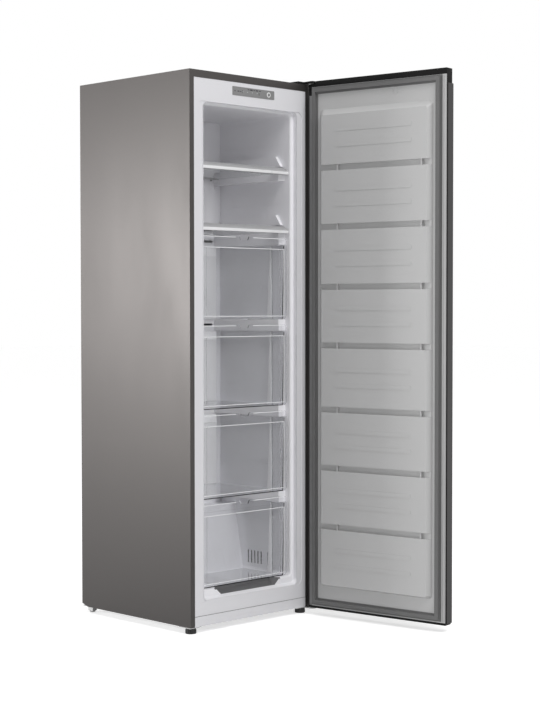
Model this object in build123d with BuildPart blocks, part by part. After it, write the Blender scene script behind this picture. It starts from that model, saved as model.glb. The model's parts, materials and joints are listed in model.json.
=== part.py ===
from build123d import *
import os
from math import cos, radians, sin

os.makedirs("parts", exist_ok=True)

# Upright single-door freezer, door standing open. Millimetres, +Z up, +X to the right of someone
# facing it, +Y towards its back. The origin is on the floor under the middle of the cabinet.

# ---- Cabinet shell -------------------------------------------------------------------------
CAB_W = 550.0  # width of the cabinet
CAB_D = 560.0  # depth of the cabinet without its door
CAB_H = 1790.0  # height of the cabinet without its feet
FOOT_H = 22.0  # underside of the cabinet above the floor
SHEET = 1.0  # painted steel sheet
FLANGE_W = 19.0  # front flange down each side
FLANGE_TOP = 24.0  # front flange along the top
HEM_W = 12.0  # hems along the back and the underside
CLIP_L = 30.0  # cut corner at the rear foot of each side, along the depth
CLIP_H = 10.0  # and its height
TOE_H = 33.0  # toe plate under the liner

# ---- Moulded liner ---------------------------------------------------------------------------
LINER_T = 2.0  # wall of the liner
FACE_T = 4.0  # front plate of the liner
FACE_TUCK = 8.0  # how far the plate reaches behind the flange
SIDE_WALL = 72.0  # side of the cabinet to the wall of the room
TOP_WALL = 107.0  # top of the cabinet to the ceiling of the room
BACK_WALL = 90.0  # back of the cabinet to the back of the liner
EVAP_ROOM = 100.0  # depth kept behind the evaporator cover
MOUTH_D = 18.0  # depth of the wide mouth before the room
MOUTH_STEP = 12.0  # the mouth is this much wider than the room on each side
MOUTH_RISE = 9.0  # and this much higher
MOUTH_LOW = 81.0  # lower edge of the mouth
MOUTH_SILL = 90.0  # its sloping sill at the back of the mouth
MOUTH_R = 16.0  # corners of the mouth
RECESS_OUT = 25.0  # shallow recess outside the mouth, on each side
RECESS_R = 22.0  # its corners
RECESS_T = 2.0  # its depth
FLOOR_UP = 113.0  # floor of the room
ROOM_R = 12.0  # corners of the room
STEP_R = 8.0  # rounded edge where the mouth steps in to the room
HUMP_FOOT = CAB_D - 304.0  # front of the hump at the floor, behind the cabinet's front
HUMP_CREST = CAB_D - 262.0  # front of the hump's flat top
HUMP_TOP = 336.0  # height of the hump
SCOOP_TOP_W = 300.0  # finger scoop under the lowest drawer, at its upper edge
SCOOP_LOW_W = 250.0  # and at its lower edge
SCOOP_D = 30.0  # how far it reaches back
SCOOP_TAPER = 20.0  # slope of its walls, in degrees
SCOOP_OPEN_H = 15.0  # its cut goes this far above the floor, so that it stays open on top
VENT_FRONT = 122.0  # return-air grille in the right wall, behind the cabinet's front
VENT_L = 118.0  # its length
VENT_LOW = 129.0  # its lower edge
VENT_H = 57.0  # its height
VENT_POCKET = 14.0  # depth of the pocket behind it
VENT_SLOT_W = 6.0  # its slots
VENT_SLOT_MARGIN = 6.0  # slots to the grille's upper and lower edge
VENT_SLOTS = (6.0, 39.0, 55.0, 71.0, 87.0, 103.0)  # starts of the slots from its front edge
VENT_WALL = 2.0  # the two walls behind it

# ---- Ledges, shelves and drawers -------------------------------------------------------------
LEDGE_OUT = 31.0  # ledges stand out from the walls
LEDGE_FRONT = 47.0  # their front ends behind the cabinet's front
LEDGE_H = 39.0  # height of a drawer ledge
SHELF_LEDGE_H = 21.0  # height of the upper shelf's ledge
LOW_LEDGE_RISE = 67.5  # lowest ledge above the hump
SHELF_ROOM_H = 200.0  # room above the upper shelf
SHELF_PITCH = 199.5  # lower shelf to upper shelf
DRAWER_LEDGES = 4
PAD_OUT = 12.0  # hold-down pads stand out from the walls
PAD_RISE = 28.0  # underside of a pad above its ledge
PAD_H = 35.0  # height of a pad
PAD_FRONT = 56.0  # front of a pad at its underside
PAD_LEAN = 24.0  # its front end leans back by this much
PAD_BACK = CAB_D - 212.0  # back end of a pad
WALL_GROOVES = (102.0, 98.0, 133.0)  # grooves in the walls, above the upper and the lower shelf
WALL_GROOVE_H = 2.0
WALL_GROOVE_D = 1.0
SEAT_GAP = 0.3  # rest gap under whatever slides on a ledge
GLASS_T = 4.0  # shelf glass
GLASS_BACK = CAB_D - 208.0  # back edge of the glass
SHELF_SIDE_GAP = 1.5  # shelf to wall
TRIM_FRONT = 28.0  # front lip of the shelf trim
TRIM_LIP_H = 11.0  # height of the lip
TRIM_TOP_H = 24.0  # top of the sloping face above the lip's foot
TRIM_SLOPE_D = 22.0  # depth of the sloping face
TRIM_D = 32.0  # depth of the whole trim
TRIM_DROP = 1.0  # the trim hangs this far below the glass
TRIM_LIP_R = 2.0  # rounding of the lip
REAR_TRIM_D = 12.0  # strip along the back edge of the glass
REAR_TRIM_T = 2.0
DRAWER_FRONT = 35.0  # drawer fronts behind the cabinet's front
DRAWER_SIDE_GAP = 2.0  # drawer front to wall
DRAWER_PLATE_T = 3.0  # drawer front plate
DRAWER_WALL = 2.5  # drawer tub
DRAWER_TOP_GAP = 17.0  # top of a drawer front below the next ledge
DRAWER_HEADER = 40.0  # header band along the top of a front
DRAWER_BORDER = 30.0  # plain border beside the recessed window of a front
DRAWER_SILL = 12.0  # border under that window
DRAWER_WINDOW_T = 2.0  # depth of the window recess
DRAWER_R = 18.0  # corners of a front
GRIP_W = 60.0  # finger notch in the top of a front
GRIP_D = 12.0  # its depth
TUB_TOP_HALF_GAP = 13.0  # tub to wall at its top
TUB_LOW_HALF_GAP = 19.0  # tub to wall at its floor
TUB_HEADROOM = 4.0  # tub rim below the ledge above
TUB_RIB_BACK = 101.0  # middle of the tapered rib on each side of a tub, behind the front
TUB_RIB_TOP_L = 6.0
TUB_RIB_LOW_L = 22.0
TUB_RIB_OUT = 1.5
TUB_BACK = CAB_D - 200.0  # back of the drawer tubs
TUB_R = 12.0  # rear corners of a tub
LOW_TUB_GAP = 18.0  # lowest tub to the hump

# ---- Control panel ---------------------------------------------------------------------------
PANEL_CENTRE_X = 10.0
PANEL_DROP = 52.0  # its middle below the top of the cabinet
PANEL_W = 192.0
PANEL_H = 29.0
PANEL_RIM = 4.0  # rim of the bezel over the front plate
PANEL_D = 14.0  # depth of the bezel behind the front plate
PANEL_WALL = 2.0
BUTTON_R = 4.5
BUTTON_X = 80.0
BUTTON_CLEAR = 0.3
BUTTON_PROUD = 1.5
BUTTON_TRAVEL = 1.5
BUTTON_COLLAR_T = 1.7
LENS_R = 1.5
LENS_PITCH = 22.0
LENS_COUNT = 5
LENS_X = -62.0
BOARD_T = 1.6

# ---- Door ------------------------------------------------------------------------------------
DOOR_OPEN = 98.0  # how far the door stands open, degrees
DOOR_GAP = 12.0  # closed door to the cabinet's front, filled by the gasket
DOOR_T = 43.0  # thickness of the door
DOOR_CLEAR = 2.0  # door to the hinge plates above and below
TOP_CAP_H = 39.0
CAP_RISE = 9.0  # the top cap stands up this much beside the hinge
CAP_NOTCH = 24.0  # its raised part starts this far from the hinge axis
LOW_CAP_H = 5.0
CAP_PLUG_H = 20.0  # part of the lower cap inside the skin
CAP_INSET = 3.0  # caps stand in from the skin
DOOR_R = 8.0  # front edges of the door
SKIN_EDGE = 5.0  # skin ends this far in front of the liner's face
SKIN_HEM = 14.0  # hem along the back edges of the skin
LINER_INSET = 4.0  # liner flange to the free side of the door
LINER_LOW_INSET = 8.0  # liner flange above the bottom of the door
LINER_HINGE_INSET = 17.0  # and to its hinged side, where the strip shows
LINER_TOP_INSET = 11.0  # and below its top
FRAME_W = 12.0  # black strip between the skin and the liner flange
GASKET_INSET = 19.0  # gasket to the side of the door
GASKET_END_INSET = 12.0  # gasket to the top and bottom of the door
GASKET_W = 24.0
GASKET_BASE_T = 3.0
GASKET_CLEAR = 0.3
GASKET_TUBE_IN = 6.0  # magnet tube in from both edges of the gasket
GASKET_WALL = 1.5
RAISED_CLEAR = 7.0  # raised panels to the sides of the mouth when closed
RAISED_H = 16.0
RAISED_BEVEL = 14.0
RAISED_LOW = 9.0  # lowest raised panel above the mouth's lower edge
RAISED_TOP = 1.0  # highest one below its upper edge
RAISED_COUNT = 8
GROOVE_W = 20.0
GROOVE_D = 12.0
GROOVE_SHIFTS = (6.0, 3.0, -2.0, 12.0, 7.0, 6.0, 2.0)  # uneven spacing of the grooves
BAR_L = 300.0  # two shallow bars on each raised panel
BAR_H = 14.0
BAR_OUT = 1.2
BAR_SPREAD = 26.0  # each bar above or below the middle of its panel
TAB_X = (145.0, -185.0)  # small webs across the grooves
TAB_W = 5.0
TAB_DEEP = 3.0  # webs stop this far below the panels
RING_X = -79.0  # small moulded ring near the top of the liner
RING_DROP = 49.0  # its centre below the top of the door
RING_R = 11.0
RING_W = 2.0
RING_OUT = 1.2
RING_MOUTH = 8.0

# ---- Hinges ----------------------------------------------------------------------------------
PIN_IN = 10.0  # hinge axis in from the side of the cabinet
PIN_OUT = 24.0  # hinge axis in front of the cabinet
PIN_R = 4.0
PIN_HEAD_R = 6.0
PIN_HEAD_H = 1.5
PIN_CLEAR = 0.05
PIN_DEEP = 22.0  # pin inside the door
BUSH_R = 5.5
BUSH_COLLAR_R = 6.5
BUSH_EXTRA = 2.0  # bore beyond the end of the pin
HINGE_T = 3.0  # hinge plates
HINGE_W = 50.0
HINGE_ARM_W = 26.0
HINGE_BACK = 60.0  # hinge plate behind the cabinet's front
HINGE_NOSE = 13.0  # plate around the pin
HINGE_SCREW_BACK = (18.0, 46.0)
HINGE_SCREW_IN = (14.0, 43.0)
COVER_H = 8.0  # cover over the upper hinge
COVER_WALL = 1.5
COVER_GAP = 2.0  # cover round the hinge plate
SCREW_R = 2.5
SCREW_CLEAR = 0.1
SCREW_HEAD_R = 4.5
SCREW_HEAD_H = 3.0
HEX_SOCKET_R = 2.0
HEX_SOCKET_D = 1.5
SCREW_L = 12.0  # hinge screws below the top of the cabinet
BACK_SCREW_R = 1.5  # screws in the back of the cabinet
BACK_HEAD_R = 3.5
BACK_HEAD_H = 1.8
BACK_SCREW_DROP = 320.0  # highest screws of the rear hems below the top

# ---- Feet and rollers --------------------------------------------------------------------------
FOOT_IN = 22.0  # foot axis in from the side
FOOT_BACK = 24.0  # and behind the front
FOOT_R = 18.0
FOOT_TOP_R = 17.0
FOOT_PAD_H = 13.0
FOOT_TAPER = 6.0  # slope of its upper part, in degrees
FOOT_EDGE_R = 2.0  # rounding around the sole
FOOT_SCREW_R = 4.0
FOOT_CLEAR = 0.05
FOOT_NOTCHES = 16
FOOT_NOTCH_R = 1.6
NUT_R = 7.5
NUT_H = 7.0
FOOT_SCREW_ABOVE = 12.0  # foot screw above the underside of the cabinet
ROLLER_R = 11.0
ROLLER_W = 14.0
ROLLER_BACK = CAB_D - 25.0
ROLLER_IN = 25.0
AXLE_R = 3.0
AXLE_CLEAR = 0.05
EAR_T = 2.0
EAR_GAP = 0.5
EAR_L = 24.0

# ---- Machine compartment -----------------------------------------------------------------------
BASE_T = 1.2  # stepped base plate and compressor tray
BASE_UP = 1.0  # base plate above the underside
TOE_STEP = 64.0  # front step of the base plate, clear of the feet
TOE_STEP_H = 22.0
SLOPE_FOOT = CAB_D - 255.0  # foot of the compartment's sloping front wall
SLOPE_HEAD = CAB_D - 215.0
BAY_H = 290.0  # height of the compartment
TRAY_T = 1.5
COMP_X = -95.0  # compressor axis
COMP_BACK = CAB_D - 108.0
COMP_R = 72.0
COMP_LOW = 24.0
COMP_SIDE_LOW = 46.0
COMP_SIDE_TOP = 150.0
COMP_TOP = 188.0
COMP_CROWN_R = 34.0
COMP_FOOT_W = 190.0
COMP_FOOT_D = 130.0
COMP_FOOT_T = 3.0
MOUNT_R = 11.0
MOUNT_X = 80.0
MOUNT_D = 52.0
TERMINAL_W = 34.0
TERMINAL_H = 44.0
STARTER_W = 64.0
STARTER_H = 66.0
STARTER_D = 26.0
PIPE_R = 3.0
PIPE_BEND = 14.0
STUB_R = 5.0
STUB_L = 12.0
DISCHARGE_UP = 66.0
SUCTION_UP = 92.0
COIL_X = (60.0, 238.0)
COIL_RUNS = 6
COIL_PITCH = 25.0
COIL_BACK = CAB_D - 40.0
DRIER_R = 9.0
DRIER_L = 72.0
DRIER_GAP = 12.0
CAPILLARY_X = -48.0
DRIP_W = 150.0
DRIP_D = 116.0
DRIP_H = 30.0
DRIP_WALL = 2.0
DRAIN_R = 8.0
DRAIN_BORE = 6.0
DRAIN_X = -95.0
DRAIN_BACK = CAB_D - 130.0
DRAIN_INTO_TRAY = 12.0
BAY_COVER_LOW = 12.0
BAY_COVER_HEAD = 304.0
LOUVRE_W = 120.0
LOUVRE_H = 5.0
LOUVRE_PITCH = 14.0
LOUVRE_ROWS = 12
LOUVRE_X = 145.0
GLAND_X = 215.0
GLAND_UP = 40.0
GLAND_R = 9.0
GLAND_FLANGE_R = 13.0
GLAND_BORE = 4.0

# ---- Cooling unit behind the evaporator cover -----------------------------------------------
COVER_T = 3.0
COVER_CLEAR = 0.3
DUCT_HALF = 140.0  # raised duct on the cover, from the middle to its side
DUCT_OUT = 8.0
DUCT_R = 20.0
DUCT_END_GAP = 12.0  # duct to the ceiling
SLOT_W = 90.0
SLOT_H = 8.0
SLOT_PITCH_X = 120.0
SLOT_DROP = 20.0  # air slots under each ledge's top
TOP_SLOT_ROWS = 4
LUG_X = 183.0
LUG_DROP = 25.0  # small lug under the upper shelf
LUG_W = 19.0
LUG_H = 7.0
COVER_SCREW_IN = 45.0  # screws of the evaporator cover to the walls of the room
COVER_SCREW_DROP = 2.0
COVER_SCREW_R = 2.0
COVER_HEAD_R = 4.5
COVER_HEAD_H = 2.0
BOSS_R = 6.0
FIN_COUNT = 24
FIN_W = 0.5
FIN_PITCH = 12.0
FIN_D = 56.0
FIN_H = 176.0
FIN_RISE = 96.0  # fins above the hump
TUBE_R = 4.0
TUBE_RUNS = 6
TUBE_PITCH = 28.0
TUBE_CLEAR = 0.15
TUBE_OVERHANG = 10.0
HEATER_R = 5.0
HEATER_GAP = 24.0  # heater under the fins
FAN_UP_FROM_SHELF = 90.0  # fan axis above the upper shelf's ledge
FAN_RING_R = 60.0
FAN_RING_T = 3.0
FAN_RING_D = 24.0
FAN_R = 54.0
FAN_HUB_R = 16.0
FAN_HUB_D = 18.0
FAN_BLADES = 5
FAN_BLADE_T = 2.0
FAN_BLADE_TWIST = 32.0
FAN_SHAFT_R = 2.0
MOTOR_R = 24.0
MOTOR_D = 26.0
STRUT_W = 8.0
FAN_GAP = 1.0

# ---- Worked out from the sizes above -----------------------------------------------------------
HALF_W = CAB_W / 2
ROOM_HALF = HALF_W - SIDE_WALL
MOUTH_HALF = ROOM_HALF + MOUTH_STEP
RECESS_HALF = MOUTH_HALF + RECESS_OUT
CEILING = CAB_H - TOP_WALL
MOUTH_TOP = CEILING + MOUTH_RISE
LINER_BACK = CAB_D - BACK_WALL
COVER_FACE = LINER_BACK - EVAP_ROOM
LEDGE_IN = ROOM_HALF - LEDGE_OUT
UPPER_SHELF = CEILING - SHELF_ROOM_H
LOWER_SHELF = UPPER_SHELF - SHELF_PITCH
LOW_LEDGE = HUMP_TOP + LOW_LEDGE_RISE
PITCH = (LOWER_SHELF - LOW_LEDGE) / (DRAWER_LEDGES - 1)
LEDGE_TOPS = [LOW_LEDGE + PITCH * step for step in range(DRAWER_LEDGES)]
FACE_FRONT = SHEET
FACE_BACK = FACE_FRONT + FACE_T
BAY_COVER_BACK = CAB_D + SHEET
PIN_X = HALF_W - PIN_IN
DOOR_FACE = -DOOR_GAP
DOOR_FRONT = DOOR_FACE - DOOR_T
DOOR_BOTTOM = DOOR_CLEAR
DOOR_TOP = CAB_H - DOOR_CLEAR
PANEL_UP = CAB_H - PANEL_DROP

# The cabinet's own frame: x across, y behind its front plane, z above its underside.
CABINET = Plane(origin=(0, -CAB_D / 2, FOOT_H))


def turned_about_pin(angle):
    """The cabinet's frame turned about the hinge axis, in which the door is drawn as if closed."""
    c = cos(radians(angle))
    s = sin(radians(angle))
    corner = (PIN_X - c * PIN_X - s * PIN_OUT, -PIN_OUT - s * PIN_X + c * PIN_OUT, 0)
    return Plane(origin=CABINET.from_local_coords(corner), x_dir=(c, s, 0), z_dir=(0, 0, 1))


DOOR = turned_about_pin(DOOR_OPEN)


def facing(frame, y):
    """A plane across the frame at this depth, seen from the front: x to the right, height up."""
    start = frame.from_local_coords((0, y, 0))
    return Plane(origin=start, x_dir=frame.x_dir, z_dir=-frame.y_dir)


def sideways(frame, x):
    """A plane along the frame at this x: depth to the right, height up."""
    start = frame.from_local_coords((x, 0, 0))
    return Plane(origin=start, x_dir=frame.y_dir, z_dir=frame.x_dir)


def block(frame, x, y, z, mode=Mode.ADD):
    """A box between the (low, high) pairs x, y and z of a frame."""
    with BuildSketch(frame.offset(z[0])) as outline:
        with Locations(((x[0] + x[1]) / 2, (y[0] + y[1]) / 2)):
            Rectangle(x[1] - x[0], y[1] - y[0])
    extrude(outline.sketch, amount=z[1] - z[0], mode=mode)


def both_sides(frame, x, y, z, mode=Mode.ADD):
    """The same box on the right and, mirrored, on the left."""
    block(frame, x, y, z, mode)
    block(frame, (-x[1], -x[0]), y, z, mode)


def across(frame, points, x, mode=Mode.ADD):
    """An outline in depth and height, drawn across the width from x[0] to x[1]."""
    with BuildSketch(sideways(frame, x[0])) as outline:
        with BuildLine():
            Polyline(*points, close=True)
        make_face()
    extrude(outline.sketch, amount=x[1] - x[0], mode=mode)


def rearward(frame, points, y, mode=Mode.ADD):
    """An outline in x and height, drawn towards the back from y[0] to y[1]."""
    with BuildSketch(facing(frame, y[0])) as outline:
        with BuildLine():
            Polyline(*points, close=True)
        make_face()
    extrude(outline.sketch, amount=y[0] - y[1], mode=mode)


def rounded_rearward(frame, x, z, radius, y, mode=Mode.ADD):
    """A rounded rectangle in x and height, drawn towards the back from y[0] to y[1]."""
    with BuildSketch(facing(frame, y[0])) as outline:
        with Locations(((x[0] + x[1]) / 2, (z[0] + z[1]) / 2)):
            RectangleRounded(x[1] - x[0], z[1] - z[0], radius)
    extrude(outline.sketch, amount=y[0] - y[1], mode=mode)


def rod(plane, spots, radius, length, mode=Mode.ADD):
    """Round rods that stand on a plane at each of the spots."""
    with BuildSketch(plane) as outline:
        with Locations(*spots):
            Circle(radius)
    extrude(outline.sketch, amount=length, mode=mode)


def bent_sheet(frame, points, thickness, x):
    """A folded sheet: the line of points thickened to its left and drawn across the width."""
    with BuildSketch(sideways(frame, x[0])) as outline:
        with BuildLine():
            fold = Polyline(*points)
            offset(fold, amount=thickness, kind=Kind.INTERSECTION, side=Side.LEFT)
        make_face()
    extrude(outline.sketch, amount=x[1] - x[0])


def pipe(frame, points, radius, bend, mode=Mode.ADD):
    """A round pipe along straight runs joined by equal bends."""
    route = [frame.from_local_coords(point) for point in points]
    with BuildLine() as run:
        FilletPolyline(*route, radius=bend)
    with BuildSketch(Plane(origin=run.line @ 0, z_dir=run.line % 0)) as section:
        Circle(radius)
    sweep(section.sketch, path=run.line, mode=mode)


def keep(piece, name):
    """Labels a finished piece and writes it to its own file."""
    piece.part.label = name
    export_step(piece.part, f"parts/{name}.step")


# ---- Hollow form of the liner --------------------------------------------------------------------
def draw_hollow(grow):
    """The moulded hollow of the cabinet, swollen by grow: its own form or the liner's outside."""
    with BuildPart() as hollow:
        with BuildSketch(facing(CABINET, 0)) as front_rim:
            with Locations((0, (MOUTH_LOW + MOUTH_TOP) / 2)):
                RectangleRounded(
                    2 * (MOUTH_HALF + grow), MOUTH_TOP - MOUTH_LOW + 2 * grow, MOUTH_R + grow
                )
        with BuildSketch(facing(CABINET, MOUTH_D + grow)) as back_rim:
            with Locations((0, (MOUTH_SILL + MOUTH_TOP) / 2)):
                RectangleRounded(
                    2 * (MOUTH_HALF + grow), MOUTH_TOP - MOUTH_SILL + 2 * grow, MOUTH_R + grow
                )
        loft([front_rim.sketch, back_rim.sketch], ruled=True)
        rounded_rearward(
            CABINET,
            (-ROOM_HALF - grow, ROOM_HALF + grow),
            (FLOOR_UP - grow, CEILING + grow),
            ROOM_R + grow,
            (MOUTH_D, LINER_BACK + grow),
        )
        # The edge where the mouth steps in to the room
        step_y = CABINET.from_local_coords((0, MOUTH_D + grow, 0)).Y
        step_edges = [
            edge
            for edge in hollow.edges()
            if abs(edge.center().Y - step_y) < 1e-6
            and abs(edge.center().X) < ROOM_HALF + grow + 1e-6
            and FLOOR_UP + FOOT_H - grow - 1e-6 < edge.center().Z < CEILING + FOOT_H + grow + 1e-6
        ]
        fillet(step_edges, STEP_R - grow)
        # The hump over the machine compartment
        across(
            CABINET,
            [
                (HUMP_FOOT + grow, FLOOR_UP - grow),
                (HUMP_CREST + grow, HUMP_TOP - grow),
                (LINER_BACK + 2 * grow, HUMP_TOP - grow),
                (LINER_BACK + 2 * grow, FLOOR_UP - 2 * grow - 1),
                (HUMP_FOOT + grow, FLOOR_UP - 2 * grow - 1),
            ],
            (-ROOM_HALF - 2 * grow, ROOM_HALF + 2 * grow),
            Mode.SUBTRACT,
        )
        # The finger scoop under the lowest drawer
        spread = (SCOOP_TOP_W - SCOOP_LOW_W) / 2 / (FLOOR_UP - MOUTH_SILL)
        open_half = SCOOP_TOP_W / 2 + spread * SCOOP_OPEN_H + grow
        open_up = FLOOR_UP + SCOOP_OPEN_H
        with BuildSketch(facing(CABINET, MOUTH_D)) as scoop:
            with BuildLine():
                Polyline(
                    (-SCOOP_LOW_W / 2 - grow, MOUTH_SILL - grow),
                    (SCOOP_LOW_W / 2 + grow, MOUTH_SILL - grow),
                    (open_half, open_up),
                    (-open_half, open_up),
                    close=True,
                )
            make_face()
        extrude(scoop.sketch, amount=-SCOOP_D - grow, taper=SCOOP_TAPER)
        # Ledges for the drawers and shelves, and hold-down pads over the shelves
        wall = (LEDGE_IN + grow, ROOM_HALF + 3 * grow + 1)
        for top in LEDGE_TOPS:
            both_sides(
                CABINET,
                wall,
                (LEDGE_FRONT + grow, COVER_FACE - SHEET - grow),
                (top - LEDGE_H + grow, top - grow),
                Mode.SUBTRACT,
            )
        both_sides(
            CABINET,
            wall,
            (LEDGE_FRONT + grow, COVER_FACE - SHEET - grow),
            (UPPER_SHELF - SHELF_LEDGE_H + grow, UPPER_SHELF - grow),
            Mode.SUBTRACT,
        )
        for ledge in (UPPER_SHELF, LOWER_SHELF):
            low = ledge + PAD_RISE + grow
            high = ledge + PAD_RISE + PAD_H - grow
            pad = [
                (PAD_FRONT + grow, low),
                (PAD_BACK - grow, low),
                (PAD_BACK - grow, high),
                (PAD_FRONT + PAD_LEAN + grow, high),
            ]
            across(CABINET, pad, (ROOM_HALF - PAD_OUT + grow, wall[1]), Mode.SUBTRACT)
            across(CABINET, pad, (-wall[1], PAD_OUT - ROOM_HALF - grow), Mode.SUBTRACT)
        # The pocket behind the return-air grille
        block(
            CABINET,
            (0, ROOM_HALF + VENT_POCKET + grow),
            (VENT_FRONT - grow, VENT_FRONT + VENT_L + grow),
            (VENT_LOW - grow, VENT_LOW + VENT_H + grow),
        )
    return hollow.part


room_form = draw_hollow(0)
liner_form = draw_hollow(LINER_T)


# ---- Where the screws go ---------------------------------------------------------------------
def back_screw_spots():
    """Screws down both rear hems and along the upper one, in x and height."""
    side_x = HALF_W - SHEET - HEM_W / 2
    rows = [BAY_COVER_HEAD + 60, CAB_H / 2 + 40, CAB_H - BACK_SCREW_DROP]
    upper = CAB_H - SHEET - HEM_W / 2
    spots = [(side * side_x, up) for side in (-1, 1) for up in rows]
    return spots + [(x, upper) for x in (-HALF_W / 2, 0, HALF_W / 2)]


def bay_screw_spots():
    """Screws in the corners of the machine compartment's cover, in x and height."""
    side_x = HALF_W - SHEET - HEM_W / 2
    return [(side * side_x, up) for side in (-1, 1) for up in (BAY_COVER_LOW + 12, BAY_COVER_HEAD - 12)]


def hinge_screw_spots():
    """Screws of a hinge plate, in x and depth."""
    return [(HALF_W - x, y) for x in HINGE_SCREW_IN for y in HINGE_SCREW_BACK]


# ---- Outer shell of the cabinet ------------------------------------------------------------------
with BuildPart() as outer_wrapper:
    shell_outline = [
        (-HALF_W, 0),
        (-HALF_W, CAB_H),
        (HALF_W, CAB_H),
        (HALF_W, 0),
        (HALF_W - SHEET, 0),
        (HALF_W - SHEET, CAB_H - SHEET),
        (SHEET - HALF_W, CAB_H - SHEET),
        (SHEET - HALF_W, 0),
    ]
    rearward(CABINET, shell_outline, (0, CAB_D))
    # Front flange, and the hems at the back and underneath
    both_sides(CABINET, (HALF_W - FLANGE_W, HALF_W - SHEET), (0, SHEET), (0, CAB_H - SHEET))
    block(
        CABINET,
        (FLANGE_W - HALF_W, HALF_W - FLANGE_W),
        (0, SHEET),
        (CAB_H - FLANGE_TOP, CAB_H - SHEET),
    )
    hem = (HALF_W - SHEET - HEM_W, HALF_W - SHEET)
    both_sides(CABINET, hem, (CAB_D - SHEET, CAB_D), (0, CAB_H - SHEET))
    block(CABINET, (-hem[0], hem[0]), (CAB_D - SHEET, CAB_D), (CAB_H - SHEET - HEM_W, CAB_H - SHEET))
    both_sides(CABINET, hem, (SHEET, CAB_D - SHEET), (0, SHEET))
    # Cut corners at the rear foot
    corner = [
        (CAB_D - CLIP_L, -1),
        (CAB_D - CLIP_L, 0),
        (CAB_D, CLIP_H),
        (CAB_D + 1, CLIP_H),
        (CAB_D + 1, -1),
    ]
    across(CABINET, corner, (-HALF_W - 1, HALF_W + 1), Mode.SUBTRACT)
    rod(facing(CABINET, CAB_D + 1), back_screw_spots(), BACK_SCREW_R + SCREW_CLEAR, 3, Mode.SUBTRACT)
    rod(facing(CABINET, CAB_D + 1), bay_screw_spots(), BACK_SCREW_R + SCREW_CLEAR, 3, Mode.SUBTRACT)
    rod(
        CABINET.offset(CAB_H - SHEET - 1),
        hinge_screw_spots(),
        SCREW_R + SCREW_CLEAR,
        SHEET + 2,
        Mode.SUBTRACT,
    )
keep(outer_wrapper, "outer_wrapper")

# ---- Back, base and toe ---------------------------------------------------------------------------
PANEL_BACK = CAB_D - SHEET
with BuildPart() as back_panel:
    block(
        CABINET,
        (SHEET - HALF_W, HALF_W - SHEET),
        (PANEL_BACK - SHEET, PANEL_BACK),
        (BAY_H - BASE_T, CAB_H - SHEET),
    )
    rod(facing(CABINET, CAB_D), back_screw_spots(), BACK_SCREW_R + SCREW_CLEAR, 4, Mode.SUBTRACT)
    rod(facing(CABINET, CAB_D), bay_screw_spots()[1::2], BACK_SCREW_R + SCREW_CLEAR, 4, Mode.SUBTRACT)
keep(back_panel, "back_panel")

inside = (SHEET - HALF_W, HALF_W - SHEET)
base_fold = [
    (FACE_BACK, TOE_STEP_H),
    (TOE_STEP, TOE_STEP_H),
    (TOE_STEP, BASE_UP),
    (SLOPE_FOOT, BASE_UP),
    (SLOPE_HEAD, BAY_H - BASE_T),
    (PANEL_BACK - SHEET, BAY_H - BASE_T),
]
with BuildPart() as base_plate:
    bent_sheet(CABINET, base_fold, BASE_T, inside)
    rod(
        CABINET.offset(BAY_H - 5),
        [(DRAIN_X, DRAIN_BACK)],
        DRAIN_R + SCREW_CLEAR,
        10,
        Mode.SUBTRACT,
    )
keep(base_plate, "base_plate")

with BuildPart() as toe_plate:
    toe_half = HALF_W - FLANGE_W
    block(CABINET, (-toe_half, toe_half), (SHEET / 2, SHEET * 2), (0, TOE_H - GASKET_CLEAR))
    toe_return = (HINGE_W + 1 - HALF_W, HALF_W - HINGE_W - 1)
    block(CABINET, toe_return, (SHEET * 2, TOE_STEP), (0, SHEET))
keep(toe_plate, "toe_plate")

with BuildPart() as machine_room_cover:
    block(
        CABINET,
        (4 * SHEET - HALF_W, HALF_W - 4 * SHEET),
        (CAB_D, BAY_COVER_BACK),
        (BAY_COVER_LOW, BAY_COVER_HEAD),
    )
    louvre_span = (LOUVRE_ROWS - 1) * LOUVRE_PITCH
    louvre_middle = (BAY_COVER_LOW + BAY_COVER_HEAD) / 2 + LOUVRE_PITCH
    with BuildSketch(facing(CABINET, CAB_D)) as louvres:
        for row in range(LOUVRE_ROWS):
            with Locations((0, louvre_middle - louvre_span / 2 + row * LOUVRE_PITCH)):
                with GridLocations(LOUVRE_X, 1, 3, 1):
                    SlotOverall(LOUVRE_W, LOUVRE_H)
    extrude(louvres.sketch, amount=-2 * SHEET, mode=Mode.SUBTRACT)
    rod(facing(CABINET, CAB_D - 1), bay_screw_spots(), BACK_SCREW_R + SCREW_CLEAR, -4, Mode.SUBTRACT)
    rod(facing(CABINET, CAB_D - 1), [(GLAND_X, GLAND_UP)], GLAND_R, -4, Mode.SUBTRACT)
keep(machine_room_cover, "machine_room_cover")

with BuildPart() as back_screws:
    for spots, seat in ((back_screw_spots(), CAB_D), (bay_screw_spots(), BAY_COVER_BACK)):
        rod(facing(CABINET, seat), spots, BACK_HEAD_R, -BACK_HEAD_H)
        rod(facing(CABINET, seat), spots, BACK_SCREW_R, seat - CAB_D + 2 * SHEET)
        socket = facing(CABINET, seat + BACK_HEAD_H)
        rod(socket, spots, BACK_SCREW_R, BACK_HEAD_H / 2, Mode.SUBTRACT)
keep(back_screws, "back_screws")

with BuildPart() as cord_gland:
    gland_spot = [(GLAND_X, GLAND_UP)]
    rod(facing(CABINET, BAY_COVER_BACK), gland_spot, GLAND_FLANGE_R, -2 * SHEET)
    rod(facing(CABINET, CAB_D), gland_spot, GLAND_R, -SHEET)
    rod(facing(CABINET, CAB_D), gland_spot, GLAND_FLANGE_R, 2 * SHEET)
    rod(facing(CABINET, CAB_D - 9), gland_spot, GLAND_BORE, -18, Mode.SUBTRACT)
keep(cord_gland, "cord_gland")

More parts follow.
